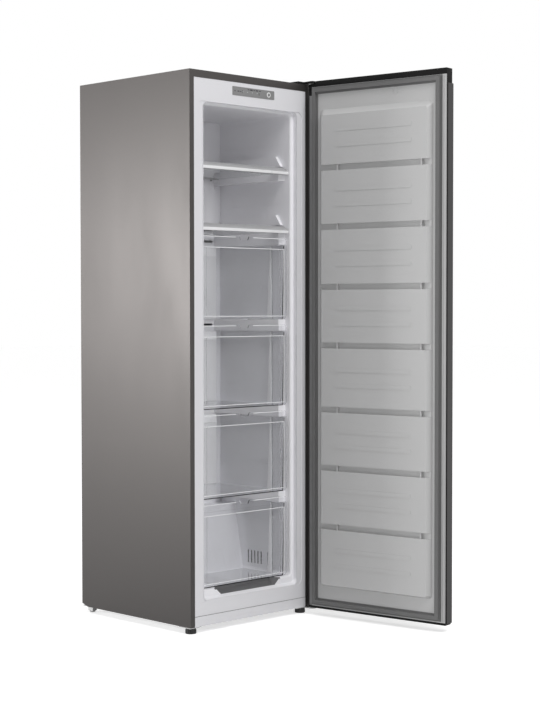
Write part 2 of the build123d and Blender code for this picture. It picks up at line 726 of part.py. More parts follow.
# ---- Liner, its grille and the foam around it --------------------------------------------------------
bezel_x = (PANEL_CENTRE_X - PANEL_W / 2, PANEL_CENTRE_X + PANEL_W / 2)
bezel_z = (PANEL_UP - PANEL_H / 2, PANEL_UP + PANEL_H / 2)
case_x = (bezel_x[0] + PANEL_RIM, bezel_x[1] - PANEL_RIM)
case_z = (bezel_z[0] + PANEL_RIM, bezel_z[1] - PANEL_RIM)

with BuildPart() as inner_liner:
    face_half = HALF_W - FLANGE_W + FACE_TUCK
    block(
        CABINET,
        (-face_half, face_half),
        (FACE_FRONT, FACE_BACK),
        (TOE_H - FACE_TUCK + 2 * SHEET, CAB_H - FLANGE_TOP + FACE_TUCK),
    )
    rounded_rearward(
        CABINET,
        (-RECESS_HALF, RECESS_HALF),
        (MOUTH_LOW - SHEET, MOUTH_TOP + SHEET),
        RECESS_R,
        (0, FACE_FRONT + RECESS_T),
        Mode.SUBTRACT,
    )
    # The toe plate lies in front of the lowest strip of the liner's face
    block(CABINET, (-HALF_W, HALF_W), (0, SHEET * 2), (0, TOE_H), Mode.SUBTRACT)
    with BuildSketch(facing(CABINET, FACE_FRONT)) as front_cut:
        Rectangle(2 * CAB_W, 4 * CAB_H)
    add(liner_form)
    extrude(front_cut.sketch, amount=CAB_D, mode=Mode.SUBTRACT)
    add(room_form, mode=Mode.SUBTRACT)
    block(CABINET, case_x, (0, 2 * FACE_BACK), case_z, Mode.SUBTRACT)
    rod(
        CABINET.offset(HUMP_TOP - 9),
        [(DRAIN_X, DRAIN_BACK)],
        DRAIN_R + SCREW_CLEAR,
        18,
        Mode.SUBTRACT,
    )
    # Grooves pressed into both side walls between the shelves
    shelf_under = (UPPER_SHELF, LOWER_SHELF, LOWER_SHELF)
    for up in [shelf + rise for shelf, rise in zip(shelf_under, WALL_GROOVES)]:
        groove = (ROOM_HALF - SHEET, ROOM_HALF + WALL_GROOVE_D)
        groove_y = (PAD_FRONT + PAD_LEAN, PAD_BACK)
        both_sides(CABINET, groove, groove_y, (up, up + WALL_GROOVE_H), Mode.SUBTRACT)
keep(inner_liner, "inner_liner")

with BuildPart() as return_air_grille:
    grille_y = (VENT_FRONT + COVER_CLEAR, VENT_FRONT + VENT_L - COVER_CLEAR)
    grille_z = (VENT_LOW + COVER_CLEAR, VENT_LOW + VENT_H - COVER_CLEAR)
    block(CABINET, (ROOM_HALF, ROOM_HALF + LINER_T), grille_y, grille_z)
    wall_x = (ROOM_HALF + LINER_T, ROOM_HALF + VENT_POCKET)
    block(CABINET, wall_x, (grille_y[0], grille_y[0] + VENT_WALL), grille_z)
    block(CABINET, wall_x, (grille_y[1] - VENT_WALL, grille_y[1]), grille_z)
    slot_z = (grille_z[0] + VENT_SLOT_MARGIN, grille_z[1] - VENT_SLOT_MARGIN)
    for start in VENT_SLOTS:
        slot_y = (VENT_FRONT + start, VENT_FRONT + start + VENT_SLOT_W)
        block(CABINET, (ROOM_HALF - 1, ROOM_HALF + LINER_T + 1), slot_y, slot_z, Mode.SUBTRACT)
keep(return_air_grille, "return_air_grille")

with BuildPart() as insulation_foam:
    block(CABINET, inside, (FACE_BACK, PANEL_BACK - SHEET), (BASE_UP, CAB_H - SHEET))
    clear_of_base = base_fold + [
        (PANEL_BACK, BAY_H - BASE_T),
        (PANEL_BACK, -1),
        (FACE_BACK - 1, -1),
        (FACE_BACK - 1, TOE_STEP_H),
    ]
    across(CABINET, clear_of_base, (-HALF_W, HALF_W), Mode.SUBTRACT)
    add(base_plate.part, mode=Mode.SUBTRACT)
    add(liner_form, mode=Mode.SUBTRACT)
    block(CABINET, case_x, (FACE_BACK - 1, FACE_BACK + PANEL_D), case_z, Mode.SUBTRACT)
    rod(CABINET.offset(BAY_H - 9), [(DRAIN_X, DRAIN_BACK)], DRAIN_R, HUMP_TOP - BAY_H + 18, Mode.SUBTRACT)
    rod(CABINET.offset(CAB_H), hinge_screw_spots(), SCREW_R, -SCREW_L, Mode.SUBTRACT)
keep(insulation_foam, "insulation_foam")

# ---- Control panel --------------------------------------------------------------------------------
with BuildPart() as control_bezel:
    rounded_rearward(CABINET, bezel_x, bezel_z, PANEL_RIM / 2, (0, FACE_FRONT))
    block(CABINET, case_x, (FACE_FRONT, FACE_BACK + PANEL_D), case_z)
    hollow_x = (case_x[0] + PANEL_WALL, case_x[1] - PANEL_WALL)
    hollow_z = (case_z[0] + PANEL_WALL, case_z[1] - PANEL_WALL)
    block(CABINET, hollow_x, (PANEL_WALL, CAB_D), hollow_z, Mode.SUBTRACT)
    button_spot = [(BUTTON_X, PANEL_UP)]
    rod(facing(CABINET, -1), button_spot, BUTTON_R + BUTTON_CLEAR, -2 * FACE_BACK, Mode.SUBTRACT)
    lens_spots = [(LENS_X + LENS_PITCH * place, PANEL_UP) for place in range(LENS_COUNT)]
    rod(facing(CABINET, -1), lens_spots, LENS_R, -2 * FACE_BACK, Mode.SUBTRACT)
keep(control_bezel, "control_bezel")

with BuildPart() as indicator_lenses:
    rod(facing(CABINET, 0), lens_spots, LENS_R, -PANEL_WALL)
keep(indicator_lenses, "indicator_lenses")

board_y = FACE_BACK + PANEL_D - 2 * BOARD_T
with BuildPart() as control_board:
    block(CABINET, hollow_x, (board_y, board_y + BOARD_T), hollow_z)
    switch_front = PANEL_WALL + BUTTON_COLLAR_T + BUTTON_TRAVEL + 2 * SEAT_GAP
    rod(facing(CABINET, switch_front), button_spot, BUTTON_R, switch_front - board_y)
    for spot in lens_spots:
        rod(facing(CABINET, PANEL_WALL), [spot], LENS_R, PANEL_WALL - board_y)
keep(control_board, "control_board")

with BuildPart() as control_button:
    rod(facing(CABINET, -BUTTON_PROUD), button_spot, BUTTON_R, -BUTTON_PROUD - PANEL_WALL)
    rod(facing(CABINET, PANEL_WALL + SEAT_GAP), button_spot, BUTTON_R + 1, -BUTTON_COLLAR_T)
    rod(facing(CABINET, PANEL_WALL), button_spot, BUTTON_R, -SEAT_GAP)
keep(control_button, "control_button")

# ---- Cooling unit -----------------------------------------------------------------------------------
cover_x = (COVER_CLEAR - ROOM_HALF, ROOM_HALF - COVER_CLEAR)
cover_z = (HUMP_TOP + COVER_CLEAR, CEILING - COVER_CLEAR)
fan_up = UPPER_SHELF + FAN_UP_FROM_SHELF
cover_screw_spots = [
    (side * (ROOM_HALF - COVER_SCREW_IN), up)
    for side in (-1, 1)
    for up in (UPPER_SHELF - COVER_SCREW_DROP, LEDGE_TOPS[1] + SLOT_DROP, HUMP_TOP + SLOT_DROP)
]
cover_post = LINER_BACK - COVER_FACE - COVER_T


def slot_rows():
    """Air slots in the cover: four rows in the top room and one under each drawer ledge's top."""
    top_rows = [CEILING - 60 - row * 2 * SLOT_H for row in range(TOP_SLOT_ROWS)]
    return top_rows + [top - SLOT_DROP for top in LEDGE_TOPS[1:]]


with BuildPart() as evaporator_cover:
    sheet_y = (COVER_FACE, COVER_FACE + COVER_T)
    rounded_rearward(CABINET, cover_x, cover_z, ROOM_R, sheet_y)
    block(CABINET, cover_x, sheet_y, (cover_z[0], cover_z[0] + 2 * ROOM_R))
    duct_z = (LOWER_SHELF + PAD_RISE, CEILING - DUCT_END_GAP)
    rounded_rearward(
        CABINET, (-DUCT_HALF, DUCT_HALF), duct_z, DUCT_R, (COVER_FACE - DUCT_OUT, COVER_FACE)
    )
    rounded_rearward(
        CABINET,
        (COVER_T - DUCT_HALF, DUCT_HALF - COVER_T),
        (duct_z[0] + COVER_T, duct_z[1] - COVER_T),
        DUCT_R - COVER_T,
        (COVER_FACE - DUCT_OUT + COVER_T, COVER_FACE + COVER_T),
        Mode.SUBTRACT,
    )
    with BuildSketch(facing(CABINET, COVER_FACE - 2 * DUCT_OUT)) as slots:
        for up in slot_rows():
            with Locations((0, up)):
                with GridLocations(SLOT_PITCH_X, 1, 3 if up < LOWER_SHELF else 2, 1):
                    SlotOverall(SLOT_W, SLOT_H)
    extrude(slots.sketch, amount=-4 * DUCT_OUT, mode=Mode.SUBTRACT)
    lug_up = UPPER_SHELF - LUG_DROP
    for side in (-1, 1):
        lug_x = (side * LUG_X - LUG_W / 2, side * LUG_X + LUG_W / 2)
        block(CABINET, lug_x, (COVER_FACE - COVER_T, COVER_FACE), (lug_up - LUG_H, lug_up))
    # Posts that hold the cover off the back of the liner at its screws
    rod(facing(CABINET, COVER_FACE + COVER_T), cover_screw_spots, BOSS_R, -cover_post)
    rod(
        facing(CABINET, COVER_FACE - 1),
        cover_screw_spots,
        COVER_SCREW_R + SCREW_CLEAR,
        -EVAP_ROOM / 2,
        Mode.SUBTRACT,
    )
keep(evaporator_cover, "evaporator_cover")

with BuildPart() as cover_screws:
    rod(facing(CABINET, COVER_FACE - COVER_HEAD_H), cover_screw_spots, COVER_HEAD_R, -COVER_HEAD_H)
    rod(facing(CABINET, COVER_FACE), cover_screw_spots, COVER_SCREW_R, -EVAP_ROOM / 3)
keep(cover_screws, "cover_screws")

fin_z = (HUMP_TOP + FIN_RISE, HUMP_TOP + FIN_RISE + FIN_H)
coil_y = (COVER_FACE + COVER_T + LINER_BACK) / 2
tube_low = (fin_z[0] + fin_z[1] - (TUBE_RUNS - 1) * TUBE_PITCH) / 2
tube_ups = [tube_low + TUBE_PITCH * run for run in range(TUBE_RUNS)]
fin_span = (FIN_COUNT - 1) * FIN_PITCH

with BuildPart() as evaporator_fins:
    for fin in range(FIN_COUNT):
        fin_x = fin * FIN_PITCH - fin_span / 2 - FIN_W / 2
        with BuildSketch(sideways(CABINET, fin_x)) as blade:
            with Locations((coil_y, (fin_z[0] + fin_z[1]) / 2)):
                Rectangle(FIN_D, FIN_H)
            with Locations(*[(coil_y, up) for up in tube_ups]):
                Circle(TUBE_R + TUBE_CLEAR, mode=Mode.SUBTRACT)
        extrude(blade.sketch, amount=FIN_W)
    # The two end plates reach the liner's back wall and carry the tubes and the heater
    for side in (-1, 1):
        plate_x = side * (fin_span / 2 + FIN_PITCH) - SHEET / 2
        plate_middle = (
            (coil_y - FIN_D / 2 + LINER_BACK) / 2,
            (fin_z[0] - 2 * HEATER_GAP + fin_z[1]) / 2,
        )
        with BuildSketch(sideways(CABINET, plate_x)) as plate:
            with Locations(plate_middle):
                Rectangle(LINER_BACK - coil_y + FIN_D / 2, FIN_H + 2 * HEATER_GAP)
            with Locations(*[(coil_y, up) for up in tube_ups]):
                Circle(TUBE_R + TUBE_CLEAR, mode=Mode.SUBTRACT)
            with Locations((coil_y, fin_z[0] - HEATER_GAP)):
                Circle(HEATER_R + TUBE_CLEAR, mode=Mode.SUBTRACT)
        extrude(plate.sketch, amount=SHEET)
keep(evaporator_fins, "evaporator_fins")

with BuildPart() as evaporator_tubes:
    tube_half = fin_span / 2 + FIN_PITCH + TUBE_OVERHANG
    for up in tube_ups:
        rod(sideways(CABINET, -tube_half), [(coil_y, up)], TUBE_R, 2 * tube_half)
    for run, up in enumerate(tube_ups[:-1]):
        side = 1 if run % 2 == 0 else -1
        middle = CABINET.from_local_coords((side * tube_half, coil_y, up + TUBE_PITCH / 2))
        start = CABINET.from_local_coords((side * tube_half, coil_y, up))
        finish = CABINET.from_local_coords((side * tube_half, coil_y, up + TUBE_PITCH))
        crown = CABINET.from_local_coords((side * (tube_half + TUBE_PITCH / 2), coil_y, up + TUBE_PITCH / 2))
        with BuildLine() as bend:
            ThreePointArc(start, crown, finish)
        with BuildSketch(Plane(origin=start, z_dir=(side, 0, 0))) as section:
            Circle(TUBE_R)
        sweep(section.sketch, path=bend.line)
keep(evaporator_tubes, "evaporator_tubes")

with BuildPart() as defrost_heater:
    heater_half = fin_span / 2 + FIN_PITCH + TUBE_OVERHANG
    rod(sideways(CABINET, -heater_half), [(coil_y, fin_z[0] - HEATER_GAP)], HEATER_R, 2 * heater_half)
keep(defrost_heater, "defrost_heater")

# The fan sits behind the duct: a motor and a ring on two feet against the liner's back wall
motor_front = LINER_BACK - MOTOR_D
hub_back = motor_front - FAN_GAP
hub_front = hub_back - FAN_HUB_D
shaft_front = hub_front + FAN_BLADE_T + FAN_GAP
with BuildPart() as fan_shroud:
    ring_front = facing(CABINET, motor_front - FAN_RING_D)
    rod(ring_front, [(0, fan_up)], FAN_RING_R + FAN_RING_T, -FAN_RING_D)
    rod(ring_front, [(0, fan_up)], FAN_RING_R, -FAN_RING_D, Mode.SUBTRACT)
    foot_at = FAN_RING_R + FAN_RING_T / 2
    for side in (-1, 1):
        foot_x = (side * foot_at - STRUT_W / 2, side * foot_at + STRUT_W / 2)
        block(CABINET, foot_x, (motor_front - FAN_RING_T, LINER_BACK), (fan_up - STRUT_W, fan_up + STRUT_W))
keep(fan_shroud, "fan_shroud")

with BuildPart() as fan_motor:
    rod(facing(CABINET, motor_front), [(0, fan_up)], MOTOR_R, -MOTOR_D)
    rod(facing(CABINET, shaft_front), [(0, fan_up)], FAN_SHAFT_R, shaft_front - motor_front)
keep(fan_motor, "fan_motor")

with BuildPart() as fan_blades:
    rod(facing(CABINET, hub_front), [(0, fan_up)], FAN_HUB_R, -FAN_HUB_D)
    fan_middle = CABINET.from_local_coords((0, (hub_front + hub_back) / 2, fan_up))
    for place in range(FAN_BLADES):
        turn = radians(360 / FAN_BLADES * place)
        out = Vector(cos(turn), 0, sin(turn))
        blade_plane = Plane(origin=fan_middle + out * (FAN_HUB_R - 1), x_dir=(0, 1, 0), z_dir=out)
        with BuildSketch(blade_plane) as blade:
            Rectangle(FAN_HUB_D * 0.9, FAN_BLADE_T, rotation=FAN_BLADE_TWIST)
        extrude(blade.sketch, amount=FAN_R - FAN_HUB_R + 1)
    rod(
        facing(CABINET, hub_front + FAN_BLADE_T),
        [(0, fan_up)],
        FAN_SHAFT_R + PIN_CLEAR,
        -FAN_HUB_D,
        Mode.SUBTRACT,
    )
keep(fan_blades, "fan_blades")

# ---- Machine compartment ---------------------------------------------------------------------------
tray_top = BASE_UP + TRAY_T
with BuildPart() as compressor_tray:
    block(CABINET, inside, (SLOPE_FOOT + BASE_T, PANEL_BACK - SHEET), (BASE_UP, tray_top))
    # Folded lip along the back, under the cover
    lip_half = HALF_W - SHEET - HEM_W - 1
    block(
        CABINET,
        (-lip_half, lip_half),
        (PANEL_BACK, CAB_D),
        (BASE_UP, BAY_COVER_LOW + HEM_W),
    )
    block(CABINET, (-lip_half, lip_half), (PANEL_BACK - SHEET, CAB_D), (BASE_UP, tray_top))
    rod(facing(CABINET, PANEL_BACK - 2), [(GLAND_X, GLAND_UP)], GLAND_FLANGE_R + 1, -6, Mode.SUBTRACT)
keep(compressor_tray, "compressor_tray")

mount_spots = [(COMP_X + i * MOUNT_X, COMP_BACK + j * MOUNT_D) for i in (-1, 1) for j in (-1, 1)]
with BuildPart() as compressor_mounts:
    rod(CABINET.offset(tray_top), mount_spots, MOUNT_R, COMP_LOW - tray_top)
    rod(
        CABINET.offset(tray_top + (COMP_LOW - tray_top) / 3),
        mount_spots,
        MOUNT_R,
        (COMP_LOW - tray_top) / 3,
        Mode.SUBTRACT,
    )
    rod(
        CABINET.offset(tray_top + (COMP_LOW - tray_top) / 3),
        mount_spots,
        MOUNT_R * 0.75,
        (COMP_LOW - tray_top) / 3,
    )
keep(compressor_mounts, "compressor_mounts")

with BuildPart() as compressor:
    plate_x = (COMP_X - COMP_FOOT_W / 2, COMP_X + COMP_FOOT_W / 2)
    plate_y = (COMP_BACK - COMP_FOOT_D / 2, COMP_BACK + COMP_FOOT_D / 2)
    block(CABINET, plate_x, plate_y, (COMP_LOW, COMP_LOW + COMP_FOOT_T))
    axis_plane = Plane(
        origin=CABINET.from_local_coords((COMP_X, COMP_BACK, 0)), x_dir=(1, 0, 0), z_dir=(0, -1, 0)
    )
    with BuildSketch(axis_plane) as can:
        with BuildLine():
            lower = Line((0, COMP_LOW), (COMP_CROWN_R, COMP_LOW))
            lower_bowl = TangentArc(lower @ 1, (COMP_R, COMP_SIDE_LOW), tangent=(1, 0))
            side = Line(lower_bowl @ 1, (COMP_R, COMP_SIDE_TOP))
            TangentArc((COMP_CROWN_R, COMP_TOP), side @ 1, tangent=(1, 0))
            crown = Line((COMP_CROWN_R, COMP_TOP), (0, COMP_TOP))
            Line(crown @ 1, lower @ 0)
        make_face()
    revolve(can.sketch, axis=Axis(axis_plane.origin, (0, 0, 1)), revolution_arc=360)
    # Welded seam round the can, and the terminal box's seat on its front
    seam = (COMP_SIDE_LOW + COMP_SIDE_TOP) / 2
    rod(CABINET.offset(seam), [(COMP_X, COMP_BACK)], COMP_R + 2, 4)
    terminal_up = (COMP_SIDE_LOW + COMP_SIDE_TOP) / 2 - 20
    block(
        CABINET,
        (COMP_X - TERMINAL_W / 2, COMP_X + TERMINAL_W / 2),
        (COMP_BACK - COMP_R - 8, COMP_BACK),
        (terminal_up - TERMINAL_H / 2, terminal_up + TERMINAL_H / 2),
    )
    rod(sideways(CABINET, COMP_X), [(COMP_BACK, DISCHARGE_UP)], STUB_R, COMP_R + STUB_L)
    rod(sideways(CABINET, COMP_X), [(COMP_BACK, SUCTION_UP)], STUB_R, -COMP_R - STUB_L)
keep(compressor, "compressor")

with BuildPart() as starter_box:
    block(
        CABINET,
        (COMP_X - STARTER_W / 2, COMP_X + STARTER_W / 2),
        (COMP_BACK - COMP_R - 8 - STARTER_D, COMP_BACK - COMP_R - 8),
        (terminal_up - STARTER_H / 2, terminal_up + STARTER_H / 2),
    )
    fillet(starter_box.edges().filter_by(Axis.Y), 4)
keep(starter_box, "starter_box")

coil_low = DISCHARGE_UP
coil_ups = [coil_low + COIL_PITCH * run for run in range(COIL_RUNS)]
with BuildPart() as condenser_coil:
    route = []
    for run, up in enumerate(coil_ups):
        ends = COIL_X if run % 2 == 0 else COIL_X[::-1]
        route += [(ends[0], COIL_BACK, up), (ends[1], COIL_BACK, up)]
    pipe(CABINET, route, PIPE_R, COIL_PITCH / 2 - 0.5)
    # Wire brackets down to the tray
    for x in (COIL_X[0] + 30, COIL_X[1] - 30):
        block(
            CABINET,
            (x - 2, x + 2),
            (COIL_BACK + PIPE_R - 1, COIL_BACK + PIPE_R + 2),
            (tray_top, coil_ups[-1] + PIPE_R),
        )
keep(condenser_coil, "condenser_coil")

drier_x = (COIL_X[0] - DRIER_GAP - DRIER_L, COIL_X[0] - DRIER_GAP)
with BuildPart() as filter_drier:
    rod(sideways(CABINET, drier_x[0]), [(COIL_BACK, coil_ups[-1])], DRIER_R, DRIER_L)
    chamfer(filter_drier.edges().filter_by(GeomType.CIRCLE), DRIER_R / 2)
keep(filter_drier, "filter_drier")

with BuildPart() as refrigerant_pipes:
    discharge_x = COMP_X + COMP_R + STUB_L
    pipe(
        CABINET,
        [
            (discharge_x, COMP_BACK, DISCHARGE_UP),
            (COIL_X[0] - 2 * PIPE_BEND, COMP_BACK, DISCHARGE_UP),
            (COIL_X[0] - 2 * PIPE_BEND, COIL_BACK, DISCHARGE_UP),
            (COIL_X[0], COIL_BACK, DISCHARGE_UP),
        ],
        PIPE_R,
        PIPE_BEND - 1,
    )
    rod(sideways(CABINET, drier_x[1]), [(COIL_BACK, coil_ups[-1])], PIPE_R, DRIER_GAP)
    pipe(
        CABINET,
        [
            (drier_x[0], COIL_BACK, coil_ups[-1]),
            (CAPILLARY_X, COIL_BACK, coil_ups[-1]),
            (CAPILLARY_X, COIL_BACK, BAY_H - BASE_T),
        ],
        PIPE_R / 2,
        PIPE_BEND,
    )
    suction_x = COMP_X - COMP_R - STUB_L
    pipe(
        CABINET,
        [
            (suction_x, COMP_BACK, SUCTION_UP),
            (suction_x - 2 * PIPE_BEND, COMP_BACK, SUCTION_UP),
            (suction_x - 2 * PIPE_BEND, COMP_BACK, BAY_H - BASE_T),
        ],
        PIPE_R,
        PIPE_BEND,
    )
keep(refrigerant_pipes, "refrigerant_pipes")

with BuildPart() as drip_tray:
    drip_x = (COMP_X - DRIP_W / 2, COMP_X + DRIP_W / 2)
    drip_y = (COMP_BACK - DRIP_D / 2, COMP_BACK + DRIP_D / 2)
    block(CABINET, drip_x, drip_y, (COMP_TOP, COMP_TOP + DRIP_H))
    fillet(drip_tray.edges().filter_by(Axis.Z), TUB_R)
    offset(amount=-DRIP_WALL, openings=drip_tray.faces().sort_by(Axis.Z)[-1])
keep(drip_tray, "drip_tray")

with BuildPart() as drain_tube:
    drain_low = COMP_TOP + DRIP_H - DRAIN_INTO_TRAY
    drain_spot = [(DRAIN_X, DRAIN_BACK)]
    rod(CABINET.offset(drain_low), drain_spot, DRAIN_R, HUMP_TOP - drain_low)
    rod(CABINET.offset(drain_low - 1), drain_spot, DRAIN_BORE, HUMP_TOP - drain_low + 2, Mode.SUBTRACT)
keep(drain_tube, "drain_tube")

# ---- Hinges -------------------------------------------------------------------------------------------
def draw_hinge_plate(low):
    """A hinge plate with its arm out to the pin, from low up, in the builder that is open."""
    block(CABINET, (HALF_W - HINGE_W, HALF_W - 1), (SHEET * 4, HINGE_BACK), (low, low + HINGE_T))
    arm = (PIN_X - HINGE_ARM_W / 2, PIN_X + HINGE_ARM_W / 2)
    block(CABINET, (arm[0], HALF_W - 1), (-PIN_OUT, SHEET * 4), (low, low + HINGE_T))
    rod(CABINET.offset(low), [(PIN_X, -PIN_OUT)], HINGE_NOSE, HINGE_T)


with BuildPart() as top_hinge_bracket:
    draw_hinge_plate(CAB_H)
    rod(CABINET.offset(CAB_H), hinge_screw_spots(), SCREW_R + SCREW_CLEAR, HINGE_T, Mode.SUBTRACT)
    rod(CABINET.offset(CAB_H), [(PIN_X, -PIN_OUT)], PIN_R, HINGE_T, Mode.SUBTRACT)
keep(top_hinge_bracket, "top_hinge_bracket")

with BuildPart() as hinge_pins:
    pin_spot = [(PIN_X, -PIN_OUT)]
    pin_length = HINGE_T + DOOR_CLEAR + PIN_DEEP
    rod(CABINET.offset(CAB_H + HINGE_T), pin_spot, PIN_HEAD_R, PIN_HEAD_H)
    rod(CABINET.offset(CAB_H + HINGE_T), pin_spot, PIN_R, -pin_length)
    rod(CABINET.offset(-HINGE_T), pin_spot, PIN_HEAD_R, -PIN_HEAD_H)
    rod(CABINET.offset(-HINGE_T), pin_spot, PIN_R, pin_length)
keep(hinge_pins, "hinge_pins")

with BuildPart() as top_hinge_cover:
    cover_outer = (HALF_W - HINGE_W - COVER_GAP - COVER_WALL, PIN_X + HINGE_NOSE + COVER_GAP + COVER_WALL)
    cover_deep = (
        -PIN_OUT - HINGE_NOSE - COVER_GAP - COVER_WALL,
        HINGE_BACK + COVER_GAP + COVER_WALL,
    )
    block(CABINET, cover_outer, cover_deep, (CAB_H, CAB_H + COVER_H))
    arm_side = PIN_X - HINGE_ARM_W / 2 - COVER_GAP - COVER_WALL
    beside_arm = (cover_outer[0] - 1, arm_side)
    in_front = (cover_deep[0] - 1, 0)
    block(CABINET, beside_arm, in_front, (CAB_H, CAB_H + COVER_H), Mode.SUBTRACT)
    fillet(top_hinge_cover.edges().filter_by(Axis.Z).group_by(Axis.Y)[0], HINGE_NOSE / 2)
    offset(amount=-COVER_WALL, openings=top_hinge_cover.faces().sort_by(Axis.Z)[0])
keep(top_hinge_cover, "top_hinge_cover")

with BuildPart() as bottom_hinge_bracket:
    draw_hinge_plate(-HINGE_T)
    rod(CABINET.offset(-HINGE_T), [(PIN_X, -PIN_OUT)], PIN_R, HINGE_T, Mode.SUBTRACT)
    rod(CABINET.offset(-HINGE_T), hinge_screw_spots()[2:], SCREW_R + SCREW_CLEAR, HINGE_T, Mode.SUBTRACT)
    foot_hole = FOOT_SCREW_R + FOOT_CLEAR
    rod(CABINET, [(HALF_W - FOOT_IN, FOOT_BACK)], NUT_R, NUT_H)
    rod(CABINET.offset(-HINGE_T - 1), [(HALF_W - FOOT_IN, FOOT_BACK)], foot_hole, NUT_H + 5, Mode.SUBTRACT)
keep(bottom_hinge_bracket, "bottom_hinge_bracket")

with BuildPart() as left_foot_bracket:
    block(
        CABINET,
        (1 - HALF_W, HINGE_W - HALF_W),
        (SHEET * 4, HINGE_BACK),
        (-HINGE_T, 0),
    )
    rod(CABINET, [(FOOT_IN - HALF_W, FOOT_BACK)], NUT_R, NUT_H)
    rod(CABINET.offset(-HINGE_T - 1), [(FOOT_IN - HALF_W, FOOT_BACK)], foot_hole, NUT_H + 5, Mode.SUBTRACT)
    left_screw_spots = [(-x, y) for x, y in hinge_screw_spots()[2:]]
    rod(CABINET.offset(-HINGE_T), left_screw_spots, SCREW_R + SCREW_CLEAR, HINGE_T, Mode.SUBTRACT)
keep(left_foot_bracket, "left_foot_bracket")


def draw_hex_screws(plane, spots, shank):
    """Round-headed socket screws: heads out along the plane's normal, shanks the other way."""
    rod(plane, spots, SCREW_HEAD_R, SCREW_HEAD_H)
    with BuildSketch(plane.offset(SCREW_HEAD_H)) as sockets:
        with Locations(*spots):
            RegularPolygon(HEX_SOCKET_R, 6)
    extrude(sockets.sketch, amount=-HEX_SOCKET_D, mode=Mode.SUBTRACT)
    rod(plane, spots, SCREW_R, -shank)


with BuildPart() as hinge_screws:
    draw_hex_screws(CABINET.offset(CAB_H + HINGE_T), hinge_screw_spots(), HINGE_T + SCREW_L)
    under = Plane(origin=CABINET.from_local_coords((0, 0, -HINGE_T)), x_dir=(1, 0, 0), z_dir=(0, 0, -1))
    below = [(x, -y) for x, y in hinge_screw_spots()[2:] + left_screw_spots]
    draw_hex_screws(under, below, HINGE_T + SHEET / 2)
keep(hinge_screws, "hinge_screws")

# ---- Feet and rollers -----------------------------------------------------------------------------------
for side, name in ((-1, "foot_front_left"), (1, "foot_front_right")):
    foot_x = side * (HALF_W - FOOT_IN)
    ground = CABINET.offset(-FOOT_H)
    with BuildPart() as foot:
        rod(ground, [(foot_x, FOOT_BACK)], FOOT_R, FOOT_PAD_H)
        fillet(foot.edges().group_by(Axis.Z)[0], FOOT_EDGE_R)
        shoulder = FOOT_H - HINGE_T - SEAT_GAP
        with BuildSketch(ground.offset(FOOT_PAD_H)) as cone:
            with Locations((foot_x, FOOT_BACK)):
                Circle(FOOT_TOP_R)
        extrude(cone.sketch, amount=shoulder - FOOT_PAD_H, taper=FOOT_TAPER)
        around = PolarLocations(FOOT_R, FOOT_NOTCHES)
        notches = [
            (foot_x + spot.position.X, FOOT_BACK + spot.position.Y) for spot in around.local_locations
        ]
        rod(ground.offset(FOOT_PAD_H / 3), notches, FOOT_NOTCH_R, FOOT_PAD_H, Mode.SUBTRACT)
        thread_l = FOOT_H - shoulder + FOOT_SCREW_ABOVE
        rod(ground.offset(shoulder), [(foot_x, FOOT_BACK)], FOOT_SCREW_R, thread_l)
    keep(foot, name)

roller_up = ROLLER_R - FOOT_H
roller_sides = ((-1, "roller_left"), (1, "roller_right"))
for side, name in roller_sides:
    middle = side * (HALF_W - ROLLER_IN)
    with BuildPart() as roller:
        rod(sideways(CABINET, middle - ROLLER_W / 2), [(ROLLER_BACK, roller_up)], ROLLER_R, ROLLER_W)
        chamfer(roller.edges().filter_by(GeomType.CIRCLE), 1)
        rod(
            sideways(CABINET, middle - ROLLER_W / 2),
            [(ROLLER_BACK, roller_up)],
            AXLE_R + AXLE_CLEAR,
            ROLLER_W,
            Mode.SUBTRACT,
        )
    keep(roller, name)

with BuildPart() as roller_brackets:
    for side, name in roller_sides:
        middle = side * (HALF_W - ROLLER_IN)
        half = ROLLER_W / 2 + EAR_GAP
        ear_y = (ROLLER_BACK - EAR_L / 2, ROLLER_BACK + EAR_L / 2)
        for ear in (-1, 1):
            ear_x = sorted((middle + ear * half, middle + ear * (half + EAR_T)))
            block(CABINET, ear_x, ear_y, (roller_up - AXLE_R - 2, 0))
        bridge_x = (middle - half - EAR_T, middle + half + EAR_T)
        block(CABINET, bridge_x, ear_y, (0, BASE_UP))
        rod(
            sideways(CABINET, bridge_x[0] - 1),
            [(ROLLER_BACK, roller_up)],
            AXLE_R,
            bridge_x[1] - bridge_x[0] + 2,
            Mode.SUBTRACT,
        )
keep(roller_brackets, "roller_brackets")

with BuildPart() as roller_axles:
    for side, name in roller_sides:
        middle = side * (HALF_W - ROLLER_IN)
        reach = ROLLER_W / 2 + EAR_GAP + EAR_T
        rod(sideways(CABINET, middle - reach), [(ROLLER_BACK, roller_up)], AXLE_R, 2 * reach)
keep(roller_axles, "roller_axles")

